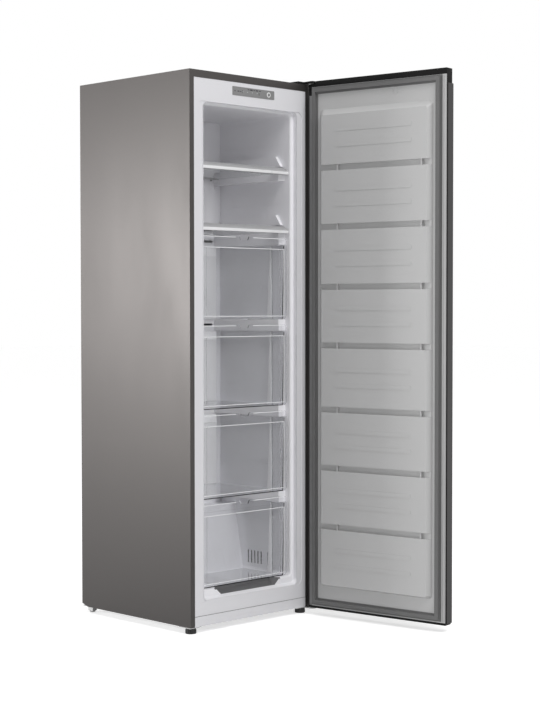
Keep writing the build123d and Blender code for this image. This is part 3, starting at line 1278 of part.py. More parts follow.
# ---- Shelves ----------------------------------------------------------------------------------------------
shelf_half = ROOM_HALF - SHELF_SIDE_GAP
for ledge, name in ((UPPER_SHELF, "upper_shelf"), (LOWER_SHELF, "lower_shelf")):
    glass_z = (ledge + SEAT_GAP, ledge + SEAT_GAP + GLASS_T)
    lip = ledge + SEAT_GAP - TRIM_DROP
    glass_front = TRIM_FRONT + TRIM_SLOPE_D
    trim_back = TRIM_FRONT + TRIM_D
    lip_back = LEDGE_FRONT - SHELF_SIDE_GAP
    hook = LEDGE_IN - SHELF_SIDE_GAP
    with BuildPart() as shelf_glass:
        block(CABINET, (-shelf_half, shelf_half), (glass_front, GLASS_BACK), glass_z)
    keep(shelf_glass, name + "_glass")

    with BuildPart() as shelf_trim:
        trim_outline = [
            (TRIM_FRONT, lip),
            (TRIM_FRONT, lip + TRIM_LIP_H),
            (glass_front, lip + TRIM_TOP_H),
            (trim_back, lip + TRIM_TOP_H),
            (trim_back, glass_z[1]),
            (glass_front, glass_z[1]),
            (glass_front, glass_z[0]),
            (lip_back, glass_z[0]),
            (lip_back, lip),
        ]
        across(CABINET, trim_outline, (-shelf_half, shelf_half))
        fillet(shelf_trim.edges().filter_by(Axis.X).group_by(Axis.Y)[0], TRIM_LIP_R)
        # Between the ledges the trim hooks under the glass
        block(CABINET, (-hook, hook), (lip_back, trim_back), (lip, glass_z[0]))
        # A strip clips over the back edge of the glass
        strip = (GLASS_BACK - REAR_TRIM_D, GLASS_BACK + REAR_TRIM_T)
        block(CABINET, (-hook, hook), strip, (glass_z[0] - REAR_TRIM_T, glass_z[1] + REAR_TRIM_T))
        block(CABINET, (-hook - 1, hook + 1), (strip[0] - 1, GLASS_BACK), glass_z, Mode.SUBTRACT)
    keep(shelf_trim, name + "_trims")


# ---- Drawers ----------------------------------------------------------------------------------------------
def hump_front(up):
    """Depth of the hump's sloping front at this height."""
    rise = (up - FLOOR_UP) / (HUMP_TOP - FLOOR_UP)
    return HUMP_FOOT + rise * (HUMP_CREST - HUMP_FOOT)


def tub_ribs(floor, rim):
    """The two ribs that stiffen the leaning sides of a tub, wider toward the floor."""
    with BuildPart() as ribs:
        for side in (-1, 1):
            top = side * (ROOM_HALF - TUB_TOP_HALF_GAP)
            low = side * (ROOM_HALF - TUB_LOW_HALF_GAP)
            grown = side * TUB_RIB_OUT
            leaning = [(low, floor), (low + grown, floor), (top + grown, rim), (top, rim)]
            half = TUB_RIB_LOW_L / 2
            rearward(CABINET, leaning, (TUB_RIB_BACK - half, TUB_RIB_BACK + half))
        tapered = [
            (TUB_RIB_BACK - TUB_RIB_LOW_L / 2, floor),
            (TUB_RIB_BACK + TUB_RIB_LOW_L / 2, floor),
            (TUB_RIB_BACK + TUB_RIB_TOP_L / 2, rim),
            (TUB_RIB_BACK - TUB_RIB_TOP_L / 2, rim),
        ]
        across(CABINET, tapered, (-ROOM_HALF, ROOM_HALF), Mode.INTERSECT)
    return ribs.part


drawer_floors = [FLOOR_UP] + LEDGE_TOPS[:-1]
drawer_lids = LEDGE_TOPS
front_half = ROOM_HALF - DRAWER_SIDE_GAP
tub_front = DRAWER_FRONT + DRAWER_PLATE_T
for number in range(DRAWER_LEDGES):
    floor = drawer_floors[number] + SEAT_GAP
    lid = drawer_lids[number]
    front_top = lid - DRAWER_TOP_GAP
    rim = lid - LEDGE_H - TUB_HEADROOM
    with BuildPart() as drawer:
        # Tub: leaning sides, then hollowed from above
        top_half = ROOM_HALF - TUB_TOP_HALF_GAP
        low_half = ROOM_HALF - TUB_LOW_HALF_GAP
        tub_outline = [(-low_half, floor), (low_half, floor), (top_half, rim), (-top_half, rim)]
        rearward(CABINET, tub_outline, (tub_front, TUB_BACK))
        if number == 0:
            behind = [
                (hump_front(floor) - LOW_TUB_GAP, floor - 1),
                (hump_front(rim) - LOW_TUB_GAP, rim + 1),
                (TUB_BACK + 1, rim + 1),
                (TUB_BACK + 1, floor - 1),
            ]
            across(CABINET, behind, (-ROOM_HALF, ROOM_HALF), Mode.SUBTRACT)
        rear_corners = drawer.edges().filter_by(
            lambda edge: edge.length > (rim - floor) / 2 and abs(edge.tangent_at(0.5).Z) > 0.9
        )
        fillet(rear_corners.sort_by(Axis.Y)[-2:], TUB_R)
        offset(amount=-DRAWER_WALL, openings=drawer.faces().sort_by(Axis.Z)[-1])
        add(tub_ribs(floor, rim))
        # Front plate with rounded upper corners, header band and recessed window
        with BuildSketch(facing(CABINET, DRAWER_FRONT)) as plate:
            with Locations((0, (floor + front_top) / 2)):
                Rectangle(2 * front_half, front_top - floor)
            fillet(plate.vertices(), DRAWER_R)
            with Locations((0, front_top)):
                Trapezoid(GRIP_W, 2 * GRIP_D, 60, rotation=180, mode=Mode.SUBTRACT)
        extrude(plate.sketch, amount=-DRAWER_PLATE_T)
        window_half = front_half - DRAWER_BORDER
        window_z = (floor + DRAWER_SILL, front_top - DRAWER_HEADER)
        rounded_rearward(
            CABINET,
            (-window_half, window_half),
            window_z,
            DRAWER_R / 3,
            (DRAWER_FRONT, DRAWER_FRONT + DRAWER_WINDOW_T),
            Mode.SUBTRACT,
        )
    keep(drawer, f"drawer_{number + 1}")

# ---- Door ------------------------------------------------------------------------------------
skin_back = DOOR_FACE - SKIN_EDGE
skin_low = DOOR_BOTTOM + LOW_CAP_H
skin_top = DOOR_TOP - TOP_CAP_H
cap_half = HALF_W - CAP_INSET
cap_front = DOOR_FRONT + CAP_INSET
liner_half = HALF_W - LINER_INSET
liner_z = (DOOR_BOTTOM + LINER_LOW_INSET, DOOR_TOP - LINER_TOP_INSET)
liner_back = DOOR_FACE - LINER_T
gasket_half = HALF_W - GASKET_INSET
gasket_z = (DOOR_BOTTOM + GASKET_END_INSET, DOOR_TOP - GASKET_END_INSET)


def door_outline(half, front, back, low, high, radius=DOOR_R):
    """The door's plan between two heights: square at the back, rounded front edges."""
    with BuildSketch(DOOR.offset(low)) as plan:
        with Locations((0, (front + back) / 2)):
            Rectangle(2 * half, back - front)
        fillet(plan.vertices().group_by(Axis.Y)[0], radius)
    extrude(plan.sketch, amount=high - low)


with BuildPart() as skin_inside:
    inner_z = (skin_low - 1, skin_top + 1)
    door_outline(HALF_W - SHEET, DOOR_FRONT + SHEET, skin_back - SHEET, *inner_z, DOOR_R - SHEET)
    hem_edge = HALF_W - SHEET - SKIN_HEM
    block(DOOR, (-hem_edge, hem_edge), (skin_back - 2 * SHEET, skin_back + 1), inner_z)

with BuildPart() as door_skin:
    door_outline(HALF_W, DOOR_FRONT, skin_back, skin_low, skin_top)
    add(skin_inside.part, mode=Mode.SUBTRACT)
keep(door_skin, "door_skin")

bore_deep = PIN_DEEP + BUSH_EXTRA
with BuildPart() as door_top_cap:
    door_outline(cap_half, cap_front, liner_back, skin_top, DOOR_TOP)
    block(DOOR, (-cap_half, cap_half), (liner_back, DOOR_FACE), (liner_z[1], DOOR_TOP))
    door_outline(cap_half, cap_front, DOOR_FACE, DOOR_TOP, DOOR_TOP + CAP_RISE)
    beside_hinge = (PIN_X - CAP_NOTCH, HALF_W)
    cap_top = (DOOR_TOP, DOOR_TOP + CAP_RISE)
    block(DOOR, beside_hinge, (DOOR_FRONT, DOOR_FACE + 1), cap_top, Mode.SUBTRACT)
    rod(DOOR.offset(DOOR_TOP), pin_spot, BUSH_R, -bore_deep, Mode.SUBTRACT)
keep(door_top_cap, "door_top_cap")

with BuildPart() as door_bottom_cap:
    door_outline(cap_half, cap_front, liner_back, DOOR_BOTTOM, skin_low)
    block(DOOR, (-cap_half, cap_half), (liner_back, DOOR_FACE), (DOOR_BOTTOM, liner_z[0]))
    block(
        DOOR,
        (SHEET - HALF_W + CAP_INSET, HALF_W - SHEET - CAP_INSET),
        (DOOR_FRONT + SHEET + CAP_INSET, skin_back - SHEET),
        (skin_low, skin_low + CAP_PLUG_H),
    )
    rod(DOOR.offset(DOOR_BOTTOM), pin_spot, BUSH_R, bore_deep, Mode.SUBTRACT)
keep(door_bottom_cap, "door_bottom_cap")

with BuildPart() as hinge_bushes:
    for end, inward in ((DOOR_TOP, -1), (DOOR_BOTTOM, 1)):
        rod(DOOR.offset(end), pin_spot, BUSH_R, inward * bore_deep)
        rod(DOOR.offset(end), pin_spot, BUSH_COLLAR_R, -inward * (DOOR_CLEAR - SEAT_GAP))
        mouth = DOOR.offset(end - inward * DOOR_CLEAR)
        rod(mouth, pin_spot, PIN_R + PIN_CLEAR, inward * (bore_deep + 1), Mode.SUBTRACT)
keep(hinge_bushes, "hinge_bushes")

raised_half = MOUTH_HALF - RAISED_CLEAR
raised_z = (MOUTH_LOW + RAISED_LOW, MOUTH_TOP - RAISED_TOP)
raised_pitch = (raised_z[1] - raised_z[0] + GROOVE_W) / RAISED_COUNT
groove_z = []
for number, shift in enumerate(GROOVE_SHIFTS):
    groove_low = raised_z[0] + raised_pitch * (number + 1) - GROOVE_W + shift
    groove_z.append((groove_low, groove_low + GROOVE_W))
panel_lows = [raised_z[0]] + [high for low, high in groove_z]
panel_highs = [low for low, high in groove_z] + [raised_z[1]]
raised_face = DOOR_FACE + RAISED_H
# Each raised panel is hollow behind; the highest pocket also stays under the sloping top
pocket_half = raised_half - LINER_T - TAB_W
across_pocket = (-pocket_half, pocket_half)
pocket_end = RAISED_BEVEL / 2 + LINER_T
pocket_highs = panel_highs[:-1] + [raised_z[1] - RAISED_BEVEL / 2]
pocket_z = [(low + pocket_end, high - pocket_end) for low, high in zip(panel_lows, pocket_highs)]

with BuildPart() as door_liner:
    block(DOOR, (-liner_half, HALF_W - LINER_HINGE_INSET), (liner_back, DOOR_FACE), liner_z)
    with BuildSketch(facing(DOOR, DOOR_FACE)) as raised_foot:
        with Locations((0, (raised_z[0] + raised_z[1]) / 2)):
            RectangleRounded(
                2 * (raised_half + RAISED_BEVEL),
                raised_z[1] - raised_z[0] + RAISED_BEVEL,
                RAISED_BEVEL,
            )
    with BuildSketch(facing(DOOR, raised_face)) as raised_crown:
        with Locations((0, (raised_z[0] + raised_z[1] - RAISED_BEVEL) / 2)):
            RectangleRounded(
                2 * raised_half, raised_z[1] - raised_z[0] - RAISED_BEVEL, RAISED_BEVEL / 2
            )
    loft([raised_foot.sketch, raised_crown.sketch], ruled=True)
    across_door = (-liner_half + GASKET_W, liner_half - GASKET_W)
    for low, high in groove_z:
        block(DOOR, across_door, (raised_face - GROOVE_D, raised_face + 1), (low, high), Mode.SUBTRACT)
        for x in TAB_X:
            tab_y = (raised_face - GROOVE_D, raised_face - TAB_DEEP)
            block(DOOR, (x - TAB_W / 2, x + TAB_W / 2), tab_y, (low, high))
    for low, high in zip(panel_lows, panel_highs):
        middle = (low + high) / 2
        for rise in (-BAR_SPREAD, BAR_SPREAD):
            rounded_rearward(
                DOOR,
                (-BAR_L / 2, BAR_L / 2),
                (middle + rise - BAR_H / 2, middle + rise + BAR_H / 2),
                BAR_H / 3,
                (raised_face, raised_face + BAR_OUT),
            )
    for pocket in pocket_z:
        block(DOOR, across_pocket, (liner_back, raised_face - LINER_T), pocket, Mode.SUBTRACT)
    # Small open ring moulded near the top
    ring_spot = [(RING_X, DOOR_TOP - RING_DROP)]
    with BuildSketch(facing(DOOR, DOOR_FACE + RING_OUT)) as ring:
        with Locations(*ring_spot):
            Circle(RING_R)
            Circle(RING_R - RING_W, mode=Mode.SUBTRACT)
        with Locations((RING_X - RING_R, DOOR_TOP - RING_DROP)):
            Rectangle(RING_R, RING_MOUTH, mode=Mode.SUBTRACT)
    extrude(ring.sketch, amount=RING_OUT)
keep(door_liner, "door_liner")

with BuildPart() as door_frame_strip:
    strip_half = HALF_W - LINER_INSET - 2
    strip_z = (skin_low, skin_top)
    block(DOOR, (-strip_half, strip_half), (skin_back, liner_back), strip_z)
    block(
        DOOR,
        (-strip_half + FRAME_W, strip_half - FRAME_W),
        (skin_back - 1, liner_back + 1),
        (strip_z[0] - 1, strip_z[1] + 1),
        Mode.SUBTRACT,
    )
keep(door_frame_strip, "door_frame_strip")

with BuildPart() as door_foam:
    foam_z = (skin_low + CAP_PLUG_H, skin_top)
    door_outline(HALF_W - SHEET, DOOR_FRONT + SHEET, skin_back - SHEET, *foam_z, DOOR_R - SHEET)
    foam_half = strip_half - FRAME_W
    block(DOOR, (-foam_half, foam_half), (skin_back - SHEET, liner_back), foam_z)
    for pocket in pocket_z:
        block(DOOR, across_pocket, (liner_back - 1, raised_face - LINER_T), pocket)
keep(door_foam, "door_foam")

gasket_back = -GASKET_CLEAR
tube_room = GASKET_W - 2 * GASKET_TUBE_IN


def gasket_ring(inset, width, y, mode=Mode.ADD):
    """A rectangular ring of the gasket, this far in from its outer edge, between two depths."""
    with BuildSketch(facing(DOOR, y[0])) as ring:
        with Locations((0, (gasket_z[0] + gasket_z[1]) / 2)):
            Rectangle(2 * (gasket_half - inset), gasket_z[1] - gasket_z[0] - 2 * inset)
            Rectangle(
                2 * (gasket_half - inset - width),
                gasket_z[1] - gasket_z[0] - 2 * (inset + width),
                mode=Mode.SUBTRACT,
            )
    extrude(ring.sketch, amount=y[0] - y[1], mode=mode)


base_back = DOOR_FACE + GASKET_BASE_T
with BuildPart() as door_gasket:
    gasket_ring(0, GASKET_W, (DOOR_FACE, base_back))
    gasket_ring(GASKET_TUBE_IN, tube_room, (base_back, gasket_back))
    magnet_y = (gasket_back - 2 * GASKET_WALL - GASKET_BASE_T / 2, gasket_back - GASKET_WALL)
    gasket_ring(GASKET_TUBE_IN + GASKET_WALL, tube_room - 2 * GASKET_WALL, magnet_y, Mode.SUBTRACT)
keep(door_gasket, "door_gasket")

with BuildPart() as gasket_magnets:
    gasket_ring(GASKET_TUBE_IN + GASKET_WALL, tube_room - 2 * GASKET_WALL, magnet_y)
keep(gasket_magnets, "gasket_magnets")
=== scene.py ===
import json
import math

import bpy
from mathutils import Matrix, Vector


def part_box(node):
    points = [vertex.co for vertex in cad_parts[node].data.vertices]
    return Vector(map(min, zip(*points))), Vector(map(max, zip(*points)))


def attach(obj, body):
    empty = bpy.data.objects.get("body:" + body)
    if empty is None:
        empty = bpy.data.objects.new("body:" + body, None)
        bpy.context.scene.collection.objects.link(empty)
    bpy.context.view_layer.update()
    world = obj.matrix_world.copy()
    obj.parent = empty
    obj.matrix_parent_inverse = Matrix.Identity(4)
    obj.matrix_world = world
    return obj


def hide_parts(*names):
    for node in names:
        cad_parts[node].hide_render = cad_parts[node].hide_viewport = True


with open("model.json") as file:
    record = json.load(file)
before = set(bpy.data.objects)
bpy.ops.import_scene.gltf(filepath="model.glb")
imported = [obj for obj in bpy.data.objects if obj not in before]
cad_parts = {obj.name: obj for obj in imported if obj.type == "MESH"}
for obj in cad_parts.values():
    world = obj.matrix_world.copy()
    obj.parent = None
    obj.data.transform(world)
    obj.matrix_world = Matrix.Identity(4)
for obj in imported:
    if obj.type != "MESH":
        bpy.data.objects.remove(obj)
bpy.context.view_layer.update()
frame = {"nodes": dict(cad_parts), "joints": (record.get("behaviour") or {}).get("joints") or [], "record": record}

bl_info = {
    "name": "Upright Freezer",
    "version": (1, 0, 0),
    "blender": (4, 5, 0),
    "location": "View3D > Sidebar > Freezer",
    "description": "Dresses a tall freezer with its door open on clear drawers and glass shelves",
    "category": "Object",
}

SLOTS = {row["node"]: row["material_slot"] for row in frame["record"]["subparts"]}

# All lengths are in metres, in the frame of the imported model.

# Stretches of one piece darkened by painted shade, as a share of its colour
FRONT_PLATE = 0.003  # the liner's front plate reaches this far behind its face
# painted shade: the front plate is the same plastic as the walls inside, darkened against them
FRONT_PAINTED_SHADE = 0.87
SCOOP_HALF = 0.152  # half the width of the finger scoop under the lowest drawer
SCOOP_Y = (-0.2615, -0.215)
SCOOP_Z = (0.1, 0.1345)
# painted shadow inside the finger scoop
SCOOP_PAINTED_SHADOW = 0.15
FLANGE_DEPTH = 0.0005  # the case's front flange, from its face
# painted shade: the flange has the case's paint, darkened for its dark reflection
FLANGE_PAINTED_SHADE = 0.85
FLOOR_PAINTED_SHADE = 0.62  # painted shade on painted steel toward the floor
LOW_SHADE_HEIGHT = 0.6  # and the height at which it has its full colour

# Drawers
DRAWER_BODIES = ("lowest_drawer", "second_drawer", "third_drawer", "top_drawer")
DRAWER_HEADER = 0.040  # header band along the top of a drawer front
DRAWER_SILL = 0.010  # window bead above the foot of a drawer front
DRAWER_EDGE = 0.014  # window bead to the side of a drawer front
GRIP_HALF = 0.040  # upper beads end here beside the finger notch
BEAD_PROUD = 0.6  # share of a bead's width that stands in front of the drawer
BEAD_SUNK = 0.1  # share of it that is let into the drawer
BEAD_ROUND = 0.3  # rounding of its edges, as a share of its width
RIM_BELOW_FRONT = 0.027  # rim of a tub below the top of its front
TUB_FLOOR = 0.003
TUB_WALL = 0.0025
TUB_LOW_IN = 0.0202  # inner face of a tub's side to the edge of its front, at the floor
TUB_TOP_IN = 0.0142  # and at the rim
RIB_BACK = 0.066  # tapered ribs behind a drawer front
RIB_LOW = 0.022  # their width at the floor
RIB_TOP = 0.006  # and at the rim
RIB_T = 0.001
REAR_CORNER = 0.012  # rounded corner of a tub beside its rear sheet
REAR_GAP = 0.0004  # rear sheet to the tub's rear wall
REAR_T = 0.001
REAR_BEAD = (0.030, 0.027)  # lower and upper edge of its bead, below the rim
REAR_BEAD_PROUD = 0.0012
SHEET_ROUND = 0.0003  # rounding of the ribs and the rear sheet

# Lips of the shelf strips
LIP_IN = 0.0005  # from the ends of the strip
LIP_PROUD = 0.0016
LIP_GAP = 0.0001
LIP_UP = 0.0008  # above the underside of the strip
LIP_CREASE = 0.45  # crease along the lip, as a share of its height
LIP_ROUND = 0.0007

# Control strip: left edge, width, rise above the middle and height of each dash
PANEL_MARKS = (
    (-0.0770, 0.0040, 0.000, 0.0040),
    (-0.0640, 0.0085, 0.000, 0.0030),
    (-0.0520, 0.0050, 0.000, 0.0030),
    (-0.0430, 0.0020, 0.000, 0.0090),
    (-0.0180, 0.0080, 0.0085, 0.0026),
    (-0.0070, 0.0120, 0.0085, 0.0042),
    (0.0090, 0.0070, 0.0085, 0.0026),
    (0.0200, 0.0100, 0.0085, 0.0036),
    (0.0350, 0.0080, 0.0085, 0.0026),
    (0.0340, 0.0020, -0.002, 0.0080),
)
MARK_PROUD = 0.0003
MARK_GAP = 0.00002
MARK_ROUND = 0.0001
RING_W = 0.0020  # ring round the button, before it is flattened
RING_FLAT = 0.45
DOT_R = 0.0021
DOT_T = 0.0006
DOT_PROUD = 0.0002  # middle of the dot in front of the button's face
DOT_ROUND = 0.00015

# Return-air grille
# the dark mesh behind the slots is a painted shadow
VENT_SLOTS = (0.006, 0.039, 0.055, 0.071, 0.087, 0.103)  # behind its front edge
VENT_SLOT_W = 0.006
VENT_MARGIN = 0.006
VENT_MESH = (0.0008, 0.0016)  # faces of the mesh, behind the grille's inner face
VENT_WIRE = 0.003  # height of a wire and of the gap above it
VENT_ROWS = 14
VENT_WIRE_PROUD = 0.0004

# Joint between the liner and the toe plate
TOE_H = 0.033
TOE_JOINT = 0.0012
TOE_IN = 0.001  # from the ends of the toe plate
TOE_PROUD = 0.0004
TOE_SUNK = 0.0002
TOE_ROUND = 0.0002

# Door seal, on the closed door
DOOR_FACE = -0.292  # inner face of the door's liner
SEAL_LOW = (-0.256, 0.036)  # lower outer corner of the seal
SEAL_TOP = 1.798
SEAL_GAP = 0.0003  # between the seal and its outer lips
SEAL_ROUND = 0.0006
SIDE_LIP_T = 0.0015
SIDE_LIP_DROP = 0.003  # the side lip reaches this far below the seal
SIDE_RIBS = ((0.16, 0.34), (0.6, 0.78))  # edges of its ribs, as shares of its width
SIDE_RIB_PROUD = 0.0022
LOW_LIP_T = 0.003
LOW_LIP_DROP = 0.0036
LOW_LIP_CREASE = 0.002  # crease along the lower lip, below the seal

# Moulded CAD nodes that get rounded edges: node, body and rounding
SOFT_NODES = (
    ("door_top_cap", "door", 0.0012),
    ("door_bottom_cap", "door", 0.001),
    ("top_hinge_cover", "cabinet", 0.0008),
    ("upper_shelf_trims", "upper_shelf", 0.0005),
    ("lower_shelf_trims", "lower_shelf", 0.0005),
)

# Soft boxes: name, place, the point it is aimed at, and size
KEY_LAMP = ("Key", (-0.9, -4.6, 6.0), (0.0, -0.28, 1.0), (3.5, 3.0))
SIDE_LAMP = ("Side", (-3.6, 2.6, 1.3), (-0.3, 0.0, 1.1), (1.6, 1.0))

# Refraction
PLASTIC_IOR = 1.49
GLASS_IOR = 1.52

# Shaping
FACING = 0.9  # least part of a normal along an axis for a face that looks that way
SHARP = math.radians(35.0)  # edges sharper than this are rounded
SMOOTH = math.radians(40.0)  # faces that meet at less than this are shaded as one
FORWARD = (math.radians(90.0), 0.0, 0.0)  # turns a flat ring or disc to face the front


# ---- Shader pieces -----------------------------------------------------------------------------


def shader_group(name, inputs, outputs):
    """A new shader group with these number inputs and outputs, and its two end nodes."""
    group = bpy.data.node_groups.new(name, "ShaderNodeTree")
    for label, default in inputs.items():
        socket = group.interface.new_socket(label, in_out="INPUT", socket_type="NodeSocketFloat")
        socket.default_value = default
    for label in outputs:
        group.interface.new_socket(label, in_out="OUTPUT", socket_type="NodeSocketFloat")
    return group, group.nodes.new("NodeGroupInput"), group.nodes.new("NodeGroupOutput")


def feed(tree, value, socket):
    """Links another socket to this input, or sets the input to a number or colour."""
    if isinstance(value, bpy.types.NodeSocket):
        tree.links.new(value, socket)
    else:
        socket.default_value = value


def maths(tree, operation, *values):
    """The outcome of a sum on numbers or sockets."""
    node = tree.nodes.new("ShaderNodeMath")
    node.operation = operation
    for index, value in enumerate(values):
        feed(tree, value, node.inputs[index])
    return node.outputs[0]


def places(tree):
    """Places in the shared frame, which Object coordinates are for every finished piece."""
    return tree.nodes.new("ShaderNodeTexCoord").outputs["Object"]


def place_along(tree, axis):
    """The place along one axis of the shared frame."""
    split = tree.nodes.new("ShaderNodeSeparateXYZ")
    tree.links.new(places(tree), split.inputs["Vector"])
    return split.outputs[axis]


def noise(tree, scale, detail, stretch=None):
    """Noise of this many turns per metre, stretched where three factors are given."""
    coordinates = places(tree)
    if stretch is not None:
        mapping = tree.nodes.new("ShaderNodeMapping")
        mapping.inputs["Scale"].default_value = stretch
        tree.links.new(coordinates, mapping.inputs["Vector"])
        coordinates = mapping.outputs["Vector"]
    node = tree.nodes.new("ShaderNodeTexNoise")
    tree.links.new(coordinates, node.inputs["Vector"])
    node.inputs["Detail"].default_value = detail
    feed(tree, scale, node.inputs["Scale"])
    return node.outputs["Fac"]


def cell_shades(tree, scale, channel):
    """One shade for each cell of a fine pattern, at this many cells per metre."""
    pattern = tree.nodes.new("ShaderNodeTexVoronoi")
    tree.links.new(places(tree), pattern.inputs["Vector"])
    feed(tree, scale, pattern.inputs["Scale"])
    split = tree.nodes.new("ShaderNodeSeparateColor")
    tree.links.new(pattern.outputs["Color"], split.inputs["Color"])
    return split.outputs[channel]


def build_grain_group():
    """Moulded grain: a fine height and a slow change of shade."""
    group, given, result = shader_group("Moulded grain", {"Scale": 900.0}, ("Height", "Shade"))
    height = noise(group, given.outputs["Scale"], detail=3.0)
    group.links.new(height, result.inputs["Height"])
    group.links.new(noise(group, scale=2.2, detail=3.0), result.inputs["Shade"])
    return group


def build_paint_group():
    """Baked metallic paint: orange peel as height and fine flakes as a mask."""
    group, given, result = shader_group(
        "Flake paint", {"Flake Scale": 1400.0}, ("Height", "Flakes")
    )
    group.links.new(noise(group, scale=260.0, detail=1.0), result.inputs["Height"])
    flakes = cell_shades(group, given.outputs["Flake Scale"], "Red")
    group.links.new(flakes, result.inputs["Flakes"])
    return group


def build_smear_shade_group():
    """Soft smears, and a painted shade mask that falls from full at the floor to nothing at its height."""
    group, given, result = shader_group(
        "Handling", {"Dust Height": LOW_SHADE_HEIGHT}, ("Smears", "Dust")
    )
    smears = noise(group, scale=7.0, detail=4.0, stretch=(1.0, 1.0, 0.35))
    group.links.new(maths(group, "MULTIPLY", smears, smears), result.inputs["Smears"])
    low = maths(group, "DIVIDE", place_along(group, "Z"), given.outputs["Dust Height"])
    low_shade = maths(group, "MAXIMUM", maths(group, "SUBTRACT", 1.0, low), 0.0)
    group.links.new(low_shade, result.inputs["Dust"])
    return group


def build_brushing_group():
    """Rolled or brushed metal: fine lines along one direction and cloudy cells."""
    group, given, result = shader_group("Brushing", {"Scale": 60.0}, ("Height", "Cells"))
    lines = noise(group, given.outputs["Scale"], detail=4.0, stretch=(1.0, 1.0, 40.0))
    group.links.new(lines, result.inputs["Height"])
    group.links.new(cell_shades(group, scale=90.0, channel="Green"), result.inputs["Cells"])
    return group


GROUP_BUILDERS = {
    "Moulded grain": build_grain_group,
    "Flake paint": build_paint_group,
    "Handling": build_smear_shade_group,
    "Brushing": build_brushing_group,
}


def use_group(tree, name, **values):
    """A node that places a shared shader group, built the first time, with its own values."""
    node = tree.nodes.new("ShaderNodeGroup")
    node.node_tree = bpy.data.node_groups.get(name) or GROUP_BUILDERS[name]()
    for label, value in values.items():
        node.inputs[label.replace("_", " ")].default_value = value
    return node


# ---- Materials ---------------------------------------------------------------------------------


def blank(name):
    """A new material, its node tree and its Principled shader."""
    material = bpy.data.materials.new(name)
    material.use_nodes = True
    tree = material.node_tree
    return material, tree, tree.nodes["Principled BSDF"]


def darker(colour, share):
    """The colour at this share of its brightness."""
    return tuple(part * share for part in colour)


def mixed(tree, first, second, mask, blend="MIX"):
    """A colour between two colours or sockets, the second one where the mask is full."""
    mix = tree.nodes.new("ShaderNodeMix")
    mix.data_type = "RGBA"
    mix.blend_type = blend
    for label, part in (("A", first), ("B", second)):
        is_socket = isinstance(part, bpy.types.NodeSocket)
        feed(tree, part if is_socket else (*part, 1.0), mix.inputs[label])
    tree.links.new(mask, mix.inputs["Factor"])
    return mix.outputs["Result"]


def tint(tree, shader, colour, mask, dark, share):
    """Gives the shader its colour, turned toward a darker one by this share of the mask."""
    part = maths(tree, "MULTIPLY", mask, share)
    shade = mixed(tree, colour, darker(colour, dark), part)
    tree.links.new(shade, shader.inputs["Base Color"])


def add_bump(tree, shader, height, depth):
    """A Bump node of this depth in metres on the shader."""
    bump = tree.nodes.new("ShaderNodeBump")
    bump.inputs["Distance"].default_value = depth
    bump.inputs["Strength"].default_value = 1.0
    tree.links.new(height, bump.inputs["Height"])
    tree.links.new(bump.outputs["Normal"], shader.inputs["Normal"])


def smear(tree, shader, marks, rough, more):
    """Roughness that rises by this much where the surface is smeared."""
    roughness = maths(tree, "MULTIPLY_ADD", marks.outputs["Smears"], more, rough)
    tree.links.new(roughness, shader.inputs["Roughness"])


def ahead_of(tree, edge):
    """A mask that is full in front of this depth of the shared frame."""
    return maths(tree, "LESS_THAN", place_along(tree, "Y"), edge)


def within(tree, axis, low, high):
    """A mask that is full between two places along one axis of the shared frame."""
    place = place_along(tree, axis)
    above = maths(tree, "GREATER_THAN", place, low)
    return maths(tree, "MULTIPLY", above, maths(tree, "LESS_THAN", place, high))


def shade_stretch(material, mask, share):
    """Darkens the material's colour to this share where the mask is full."""
    tree = material.node_tree
    target = tree.nodes["Principled BSDF"].inputs["Base Color"]
    colour = target.links[0].from_socket
    tree.links.new(mixed(tree, colour, (share, share, share), mask, "MULTIPLY"), target)


def moulded_plastic(name, colour, rough=0.35, grain=900.0, depth=0.00004, coat=0.0, gloss=0.5):
    """Moulded plastic with a fine grain, a slow change of shade and handling marks."""
    material, tree, shader = blank(name)
    grained = use_group(tree, "Moulded grain", Scale=grain)
    marks = use_group(tree, "Handling")
    tint(tree, shader, colour, grained.outputs["Shade"], dark=0.8, share=0.24)
    smear(tree, shader, marks, rough, more=0.2)
    add_bump(tree, shader, grained.outputs["Height"], depth)
    shader.inputs["Specular IOR Level"].default_value = gloss
    if coat:
        shader.inputs["Coat Weight"].default_value = coat
        shader.inputs["Coat Roughness"].default_value = 0.15
    return material


def liner_plastic(name, colour):
    """The white liner, with painted shade on its front plate and a painted shadow inside the finger scoop."""
    material = moulded_plastic(name, colour, rough=0.32, grain=700.0)
    tree = material.node_tree
    # painted shade on the front plate
    plate = ahead_of(tree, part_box("inner_liner")[0].y + FRONT_PLATE)
    shade_stretch(material, plate, FRONT_PAINTED_SHADE)
    # painted shadow inside the finger scoop, under the lowest drawer
    scoop = within(tree, "X", -SCOOP_HALF, SCOOP_HALF)
    for axis, low, high in (("Y", *SCOOP_Y), ("Z", *SCOOP_Z)):
        scoop = maths(tree, "MULTIPLY", scoop, within(tree, axis, low, high))
    shade_stretch(material, scoop, SCOOP_PAINTED_SHADOW)
    return material


